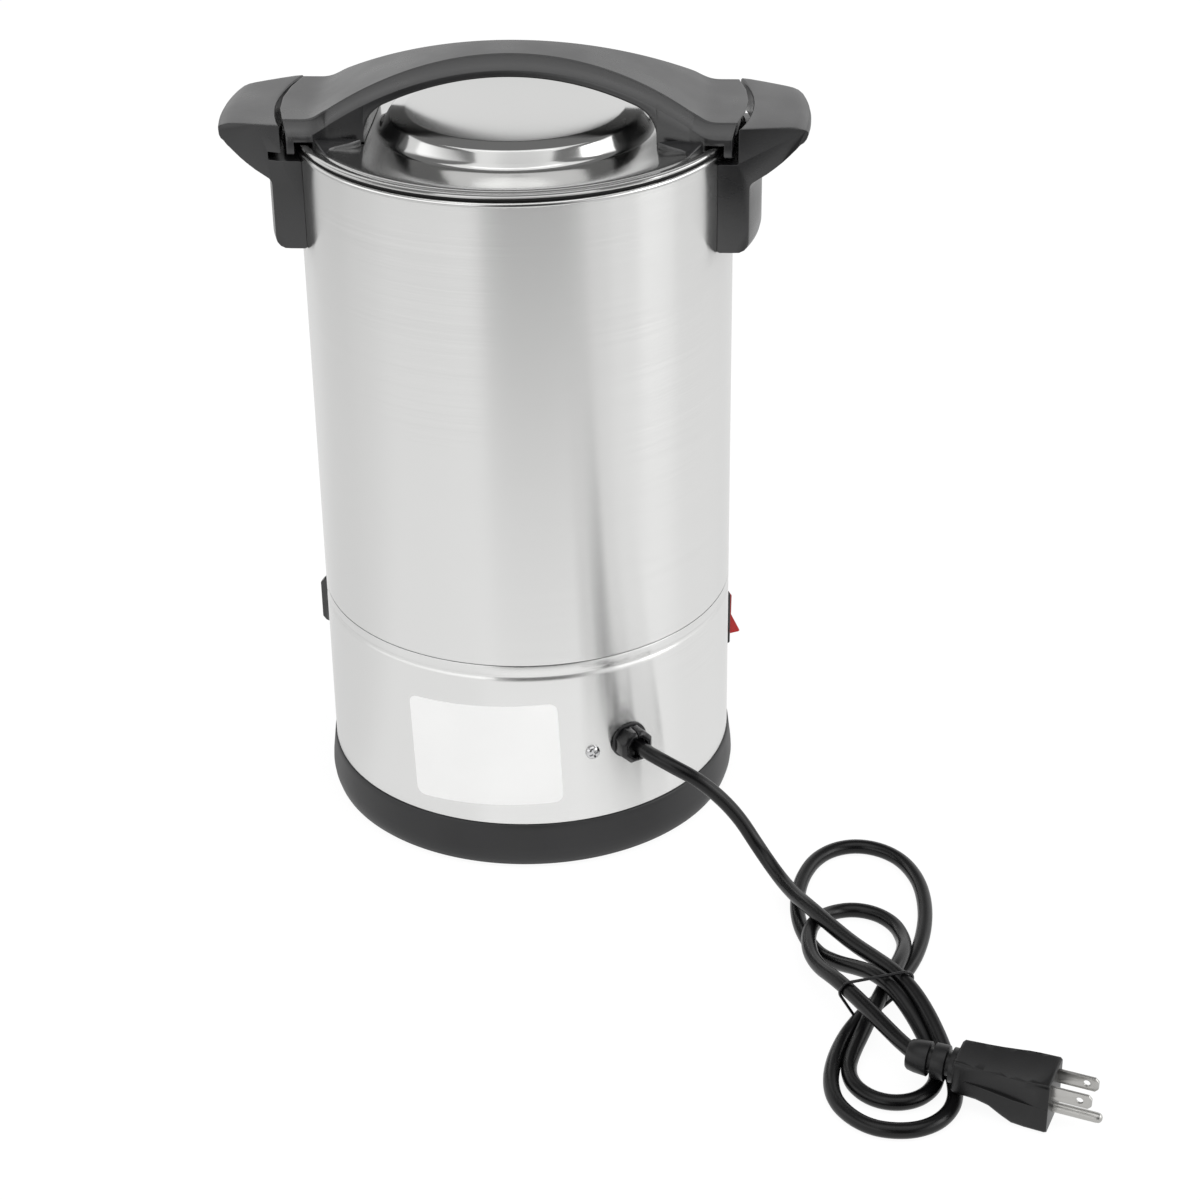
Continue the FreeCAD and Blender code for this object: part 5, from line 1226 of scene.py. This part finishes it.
@dataclass
class LidHandle:
    """Arched handle across the lid: waisted, bevelled, with legs that step over the rim."""

    top: float = 396.6
    arch_radius: float = 183.0
    depth: float = 9.6
    bevel: float = 6.3
    waist: float = 17.6
    waist_radius: float = 190.0
    widest_reach: float = 120.0
    end_half: float = 39.5
    end_corner: float = 3.0
    platform: float = 370.9
    lead_in: float = 15.0

    # The leg's inner face and corner, its foot on the lid, the step over the rim and the hook outside it.
    leg: float = 69.0
    leg_corner: float = 14.5
    foot: float = 358.9
    over_rim: float = 361.4
    hook: float = 355.8
    bend_start: float = 84.0
    bend_length: float = 12.0

    # Where the arch's cross-sections stand before its leg, over the rim and along the hook.
    crown_stations: tuple[float, ...] = (*range(0, 60, 3), 59.5, 61.5, 63.5, 65.2, 66.6, 67.7, 68.5, 68.9)
    rim_stations: tuple[float, ...] = (99.8, 101.5, 103.5, 105.5, 108.2)
    hook_stations: tuple[float, ...] = (108.2, 109.0, 109.8, 110.6, 111.5)

    # Wedges on the lid's rim: distance from the handle's middle line, inner edge and height.
    wedges: Route = ((35.0, 69.6, 5.0), (39.5, 74.5, 4.5), (43.0, 80.4, 4.0), (45.5, 82.8, 3.6), (48.5, 83.1, 3.0),
                     (51.5, 83.2, 2.3), (53.6, 83.1, 1.7))
    wedge_reach: float = 99.1

    def top_height(self, across: float) -> float:
        """Height of the arch's top, easing into the end platform.

        Args:
            across: the distance from the axis.
        Returns:
            The height, in mm.
        """
        centre = self.top - self.arch_radius
        cosine = (self.platform - centre + self.lead_in) / (self.arch_radius + self.lead_in)
        sine = math.sqrt(1.0 - cosine * cosine)
        across = abs(across)
        if across <= self.arch_radius * sine:
            return centre + math.sqrt(self.arch_radius ** 2 - across ** 2)
        end = (self.arch_radius + self.lead_in) * sine
        if across >= end:
            return self.platform
        return self.platform + self.lead_in - math.sqrt(self.lead_in ** 2 - (end - across) ** 2)

    def half_width(self, across: float) -> float:
        """Half the outline's width, with an eased corner at the ends.

        Args:
            across: the distance from the axis.
        Returns:
            The half width, in mm.
        """
        reach = min(abs(across), self.widest_reach)
        bow = self.waist + self.waist_radius - math.sqrt(self.waist_radius ** 2 - reach ** 2)
        if bow > self.end_half + self.end_corner:
            return self.end_half
        if bow < self.end_half - self.end_corner:
            return bow
        excess = bow - (self.end_half - self.end_corner)
        return bow - excess * excess / (4.0 * self.end_corner)

    def under_height(self, across: float) -> float:
        """Height of the underside, down the rounded inner corner to the leg's inner face.

        Args:
            across: the distance from the axis.
        Returns:
            The height, in mm.
        """
        centre = self.top - self.arch_radius
        inner = self.arch_radius - self.depth
        fillet_x = self.leg - self.leg_corner
        fillet_z = centre + math.sqrt((inner - self.leg_corner) ** 2 - fillet_x ** 2)
        if across <= fillet_x * inner / (inner - self.leg_corner):
            return centre + math.sqrt(inner ** 2 - across ** 2)
        return fillet_z + math.sqrt(max(0.0, self.leg_corner ** 2 - (across - fillet_x) ** 2))

    def bend(self, station: float, across: float) -> float:
        """Bend a station's straight line into an arc about the axis, fully so at the lid's rim.

        Args:
            station: the line's distance from the axis at its middle.
            across: how far along the line.
        Returns:
            The distance from the axis there, measured along the handle.
        """
        share = min(1.0, max(0.0, (station - self.bend_start) / self.bend_length))
        eased_share = share * share * (3.0 - 2.0 * share)
        return station - eased_share * (station - math.sqrt(max(0.0, station ** 2 - across ** 2)))

    def ring(self, station: float, under: float) -> list[Place]:
        """The cross-section's loop, with a fine groove along the top's edges.

        Args:
            station: the distance from the axis.
            under: the underside's height there.
        Returns:
            The loop's points, in mm.
        """
        side = self.half_width(station)
        for _ in range(3):
            side = self.half_width(self.bend(station, side))
        flat = side - self.bevel
        # Points across, hung so far below the top, then points that stand so far above the underside.
        hung = ((0.0, 0.0), (flat * 0.5, 0.0), (flat - 1.3, 0.0), (flat - 0.75, 0.0), (flat - 0.4, 0.75),
                (flat + 0.1, 0.75), (flat + 0.5, 0.45), (side - 0.25, self.bevel - 0.3), (side, self.bevel + 0.1))
        stood = ((side, 0.9), (side - 0.9, 0.0), (side * 0.5, 0.0), (0.0, 0.0))
        points = []
        for across, drop in hung:
            x = self.bend(station, across)
            points.append((x, across, self.top_height(x) - drop))
        points += [(self.bend(station, across), across, under + lift) for across, lift in stood]
        return points + [(x, -y, z) for x, y, z in reversed(points[1:-1])]

    def make_arch(self) -> Piece:
        """Half of the arch from station to station, then its mirror image."""
        places = [(station, self.under_height(station)) for station in (*self.crown_stations, self.leg)]
        places += [(self.leg + 1.75 * i, self.foot) for i in range(18)]
        places += [(self.rim_stations[0], self.foot)]
        places += [(station, self.over_rim) for station in self.rim_stations]
        places += [(station, self.hook) for station in self.hook_stations]
        rings = [self.ring(*place) for place in places]
        half = lofted("arch_half", rings, capped=False)
        with editing(half):
            select_points(half, lambda p: min((p - Vector(q) * MM).length for q in rings[-1]) < SAME_PLACE)
            bpy.ops.mesh.edge_face_add()
        apply_modifier(half, "MIRROR", use_axis=(True, False, False), use_clip=True, merge_threshold=1e-5)
        with editing(half):
            face_outwards()
        return soften(half, 0.3, 2, 36.0)

    def make_pads(self) -> Piece:
        """Four low wedges that spread the legs along the lid's rim, each falling to a sharp corner."""
        rings = []
        low = self.foot
        for across, inner, rise in self.wedges:
            outer, high = math.sqrt(self.wedge_reach ** 2 - across ** 2), low + rise
            section = ((inner, low), (outer, low), (outer, high - 0.5), (outer - 0.5, high),
                       (inner + 0.5, high - 0.35 * rise), (inner, low + 0.35 * rise))
            rings.append([(x, across, z) for x, z in section])
        pads = lofted("rim_wedges", rings)
        apply_modifier(pads, "MIRROR", use_axis=(True, True, False), use_mirror_merge=False)
        return soften(pads, 0.25, 2)

    def build(self) -> None:
        """Join the arch and its four wedges."""
        handle = merged("lid_arch", [self.make_arch(), self.make_pads()])
        hand_over(handle, RigidBody.LID, BLACK_HANDLE, "lid_handle")


@dataclass
class SideHandle:
    """Moulded side handle: bracket on the jacket, ledge, lock slot and an outreaching wing."""

    # The (radius, height) outline at the middle: up the inner side, over the top, back underneath.
    section: Profile = (
        (105.02, 309.0), (105.02, 330.0), (105.02, 351.9), (105.4, 352.3), (113.4, 352.3), (114.0, 352.9),
        (114.0, 358.0), (114.0, 364.0), (114.0, 369.0), (114.6, 369.7),
        (118.0, 369.55), (124.0, 369.1), (130.0, 368.6), (134.0, 368.2), (136.5, 367.8), (138.6, 367.0),
        (140.2, 365.9), (141.1, 364.5), (141.5, 362.9), (141.5, 361.2), (141.2, 360.0), (140.4, 359.2),
        (139.2, 358.9),
        (137.6, 357.2), (135.0, 354.4), (132.0, 351.5), (129.0, 349.0), (125.5, 346.4), (122.0, 344.3),
        (119.8, 342.9), (118.9, 341.5), (118.7, 339.6), (118.7, 330.0), (118.7, 320.0), (118.7, 313.2),
        (118.2, 311.2), (116.9, 309.6), (114.8, 308.6), (112.0, 308.5), (106.0, 308.5))
    steps: int = 28

    # Half the width beside the pot, where it starts to taper, by how much, and the rounded tip.
    half: float = 38.0
    taper_start: float = 116.0
    taper: float = 0.40
    tip_start: float = 136.5
    tip_length: float = 5.0
    tip_half: float = 29.8
    tip_rounding: float = 9.5

    # The lock slot's section, and how far round it runs, in degrees.
    slot: Profile = ((112.0, 352.3), (119.5, 352.3), (119.5, 356.2), (112.0, 356.2))
    slot_start: float = -2.0
    slot_sweep: float = 28.0
    slot_steps: int = 24

    def reach(self, radius: float) -> float:
        """Half the wing's width: straight beside the pot, tapered, rounded at the tip.

        Args:
            radius: the distance from the pot's axis.
        Returns:
            The half width, in mm.
        """
        if radius <= self.taper_start:
            return self.half
        if radius <= self.tip_start:
            return self.half - (radius - self.taper_start) * self.taper
        inward = (radius - self.tip_start) / self.tip_length
        return self.tip_half - self.tip_rounding * (1.0 - math.sqrt(max(0.0, 1.0 - inward * inward)))

    def make_handle(self) -> Piece:
        """Sweep the outline across the handle, each point kept at its radius."""
        rings = []
        for step in range(self.steps + 1):
            share = -1.0 + 2.0 * step / self.steps
            ring = []
            for radius, height in self.section:
                across = share * self.reach(radius)
                ring.append((math.sqrt(radius ** 2 - across ** 2), across, height))
            rings.append(ring)
        handle = lofted("side_handle", rings)
        rings = []
        for step in range(self.slot_steps + 1):
            angle = math.radians(self.slot_start + self.slot_sweep * step / self.slot_steps)
            rings.append([(r * math.cos(angle), r * math.sin(angle), z) for r, z in self.slot])
        cut(handle, lofted("lock_slot", rings))
        return soften(handle, 1.5, 4, 40.0)

    def build(self) -> None:
        """Make the right-hand handle, and the left-hand one as a copy turned half round."""
        right = self.make_handle()
        right.name = "handle_moulding_right"
        left = bake(copy_of(right, "handle_moulding_left"), turn_z(180))
        hand_over(right, RigidBody.POT, BLACK_HANDLE, "side_handle_right")
        hand_over(left, RigidBody.POT, BLACK_HANDLE, "side_handle_left")


# ------------------------------------------------------------------ rear fittings

@dataclass
class RearFittings:
    """Cord gland, screw and blank rating label on the lower housing."""

    # Each fitting's azimuth from the rear, in degrees, and its height.
    gland: tuple[float, float] = (32.8, 67.5)
    screw: tuple[float, float] = (22.0, 65.1)
    label: tuple[float, float] = (-8.2, 65.7)
    wall: float = 105.0

    collar_radius: float = 9.2
    collar_depth: float = 10.0
    collar_chamfer: float = 1.5
    collar_rim: float = 1.6
    collar_recess: float = 3.0
    split: Place = (0.5, 22.0, 8.0)
    split_height: float = 7.0
    flange: Profile = ((7.6, 0.05), (9.6, 0.05), (9.9, 0.5), (9.7, 1.1), (8.9, 1.5), (7.6, 1.6))

    head: Profile = ((3.6, 0.0), (3.7, 0.4), (3.5, 1.1), (2.9, 1.7), (1.8, 2.2), (0.0, 2.4))
    slot: Place = (4.8, 0.95, 3.0)
    slot_height: float = 2.4
    slot_turns: tuple[float, float] = (20.0, 110.0)

    label_size: tuple[float, float] = (77.6, 57.8)
    label_corner: float = 4.5
    label_tilt: float = 2.4
    label_columns: int = 40
    label_gap: float = 0.06
    label_thickness: float = 0.24

    def make_gland(self) -> Piece:
        """Eight-sided collar in two half shells, with a recess round the lead."""
        clear_selection()
        bpy.ops.mesh.primitive_cylinder_add(vertices=8, radius=self.collar_radius * MM, depth=self.collar_depth * MM,
                                            location=(0, 0, self.collar_depth / 2 * MM),
                                            rotation=(0, 0, math.radians(22.5)))
        collar = bake(bpy.context.object, Matrix())
        collar.name = "gland_collar"
        end = (self.collar_depth - 0.1) * MM
        with editing(collar):
            select_points(collar, lambda p: p.z > end)
            bpy.ops.mesh.bevel(offset=self.collar_chamfer * MM, segments=1, affect="EDGES")
            select_points(collar, lambda p: p.z > end)
            bpy.ops.mesh.inset(thickness=self.collar_rim * MM)
            inwards = (0, 0, -self.collar_recess * MM)
            bpy.ops.mesh.extrude_region_move(TRANSFORM_OT_translate={"value": inwards})
        cut(collar, block(shifted(0, 0, self.split_height) @ resized(*self.split)))
        soften(collar, 0.35, 2)
        ring = soften(turned("gland_flange", self.flange, 64, closed=True), 0, angle=40)
        return bake(merged("cord_gland_collar", [collar, ring]), on_wall(*self.gland, self.wall))

    def make_screw(self) -> Piece:
        """Low dome-headed screw with a cross recess."""
        head = turned("screw_head", self.head, 48)
        for turn in self.slot_turns:
            cut(head, block(turn_z(turn) @ shifted(0, 0, self.slot_height) @ resized(*self.slot)))
        return bake(soften(head, 0, angle=40), on_wall(*self.screw, self.wall))

    def make_label(self) -> Piece:
        """Rounded blank sticker bent to the housing."""
        width, tall = self.label_size
        outline = rounded_box(width / 2, -tall / 2, tall / 2, self.label_corner, 8)
        clear_selection()
        bpy.ops.mesh.primitive_circle_add(vertices=len(outline), radius=1.0, fill_type="NGON")
        label = bpy.context.object
        label.name = "blank_rating_label"
        for vertex, (across, up) in zip(label.data.vertices, outline):
            vertex.co = Vector((across, up, 0)) * MM
        with editing(label):
            for column in range(1, self.label_columns):
                across = (-width / 2 + width * column / self.label_columns) * MM
                bpy.ops.mesh.select_all(action="SELECT")
                bpy.ops.mesh.bisect(plane_co=(across, 0, 0), plane_no=(1, 0, 0))
            bpy.ops.mesh.select_all(action="SELECT")
            bpy.ops.transform.rotate(value=math.radians(self.label_tilt), orient_axis="Z", center_override=(0, 0, 0))
        azimuth, height = self.label
        radius = (self.wall + self.label_gap) * MM
        for vertex in label.data.vertices:
            angle = math.radians(azimuth) - vertex.co.x / (self.wall * MM)
            vertex.co = (-radius * math.sin(angle), radius * math.cos(angle), height * MM + vertex.co.y)
        apply_modifier(label, "SOLIDIFY", thickness=self.label_thickness * MM, offset=1.0)
        with editing(label):
            face_outwards()
        return soften(label, 0, angle=40)

    def build(self) -> None:
        """Make and dress the rear fittings."""
        hand_over(self.make_gland(), RigidBody.POT, BLACK_GLOSS, "cord_gland")
        hand_over(self.make_screw(), RigidBody.POT, SCREW_NICKEL, "rear_screw")
        hand_over(self.make_label(), RigidBody.POT, LABEL_FILM, "rating_label")


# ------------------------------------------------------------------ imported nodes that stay

@dataclass
class PackedNodes:
    """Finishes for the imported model's own meshes that are shown as they are."""

    def build(self) -> None:
        """Give each remaining node its material."""
        finishes = {
            SHEET_STEEL: ("bottom_cover", "joint_ring", "heat_shield", "side_handle_plates"),
            ZINC_STEEL: ("bottom_screws", "heating_element", "clamp_nuts", "thermostat_shaft", "lid_handle_screws",
                         "side_handle_screws"),
            FOOT_RUBBER: ("rubber_feet",),
            SEAL_RUBBER: ("tap_outer_washer", "tap_inner_washer"),
            WOOL: ("insulation_blanket",),
            CAST_ALUMINIUM: ("heater_plate",),
            CERAMIC: ("thermal_cutout", "thermostat", "terminal_block"),
            BLACK_HANDLE: ("temperature_knob", "tap_lever"),
            BLACK_GLOSS: ("switch_housing",),
            RED_ROCKER: ("switch_rocker",),
            LID_STEEL: ("lid_inner_ring",),
            TAP_CHROME: ("tap_body", "tap_lock_nut", "tap_plug", "tap_retainer", "tap_lever_screw"),
        }
        for finish, names in finishes.items():
            for name in names:
                node = bpy.data.objects.get(name)
                if node is None:
                    log.warning("no node %s", name)
                    continue
                node.data.materials.clear()
                node.data.materials.append(finish.material())


def main() -> None:
    """Build the studio and every sub-assembly in order."""
    logging.basicConfig(level=logging.INFO, format="%(name)s: %(message)s")
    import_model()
    Studio().build()
    for assembly in (MainsLead(), Casing(), Lid(), LidHandle(), SideHandle(), RearFittings(), PackedNodes()):
        log.info("building %s", type(assembly).__name__)
        assembly.build()
    clear_selection()
    bpy.context.view_layer.update()


if __name__ == "__main__":
    main()
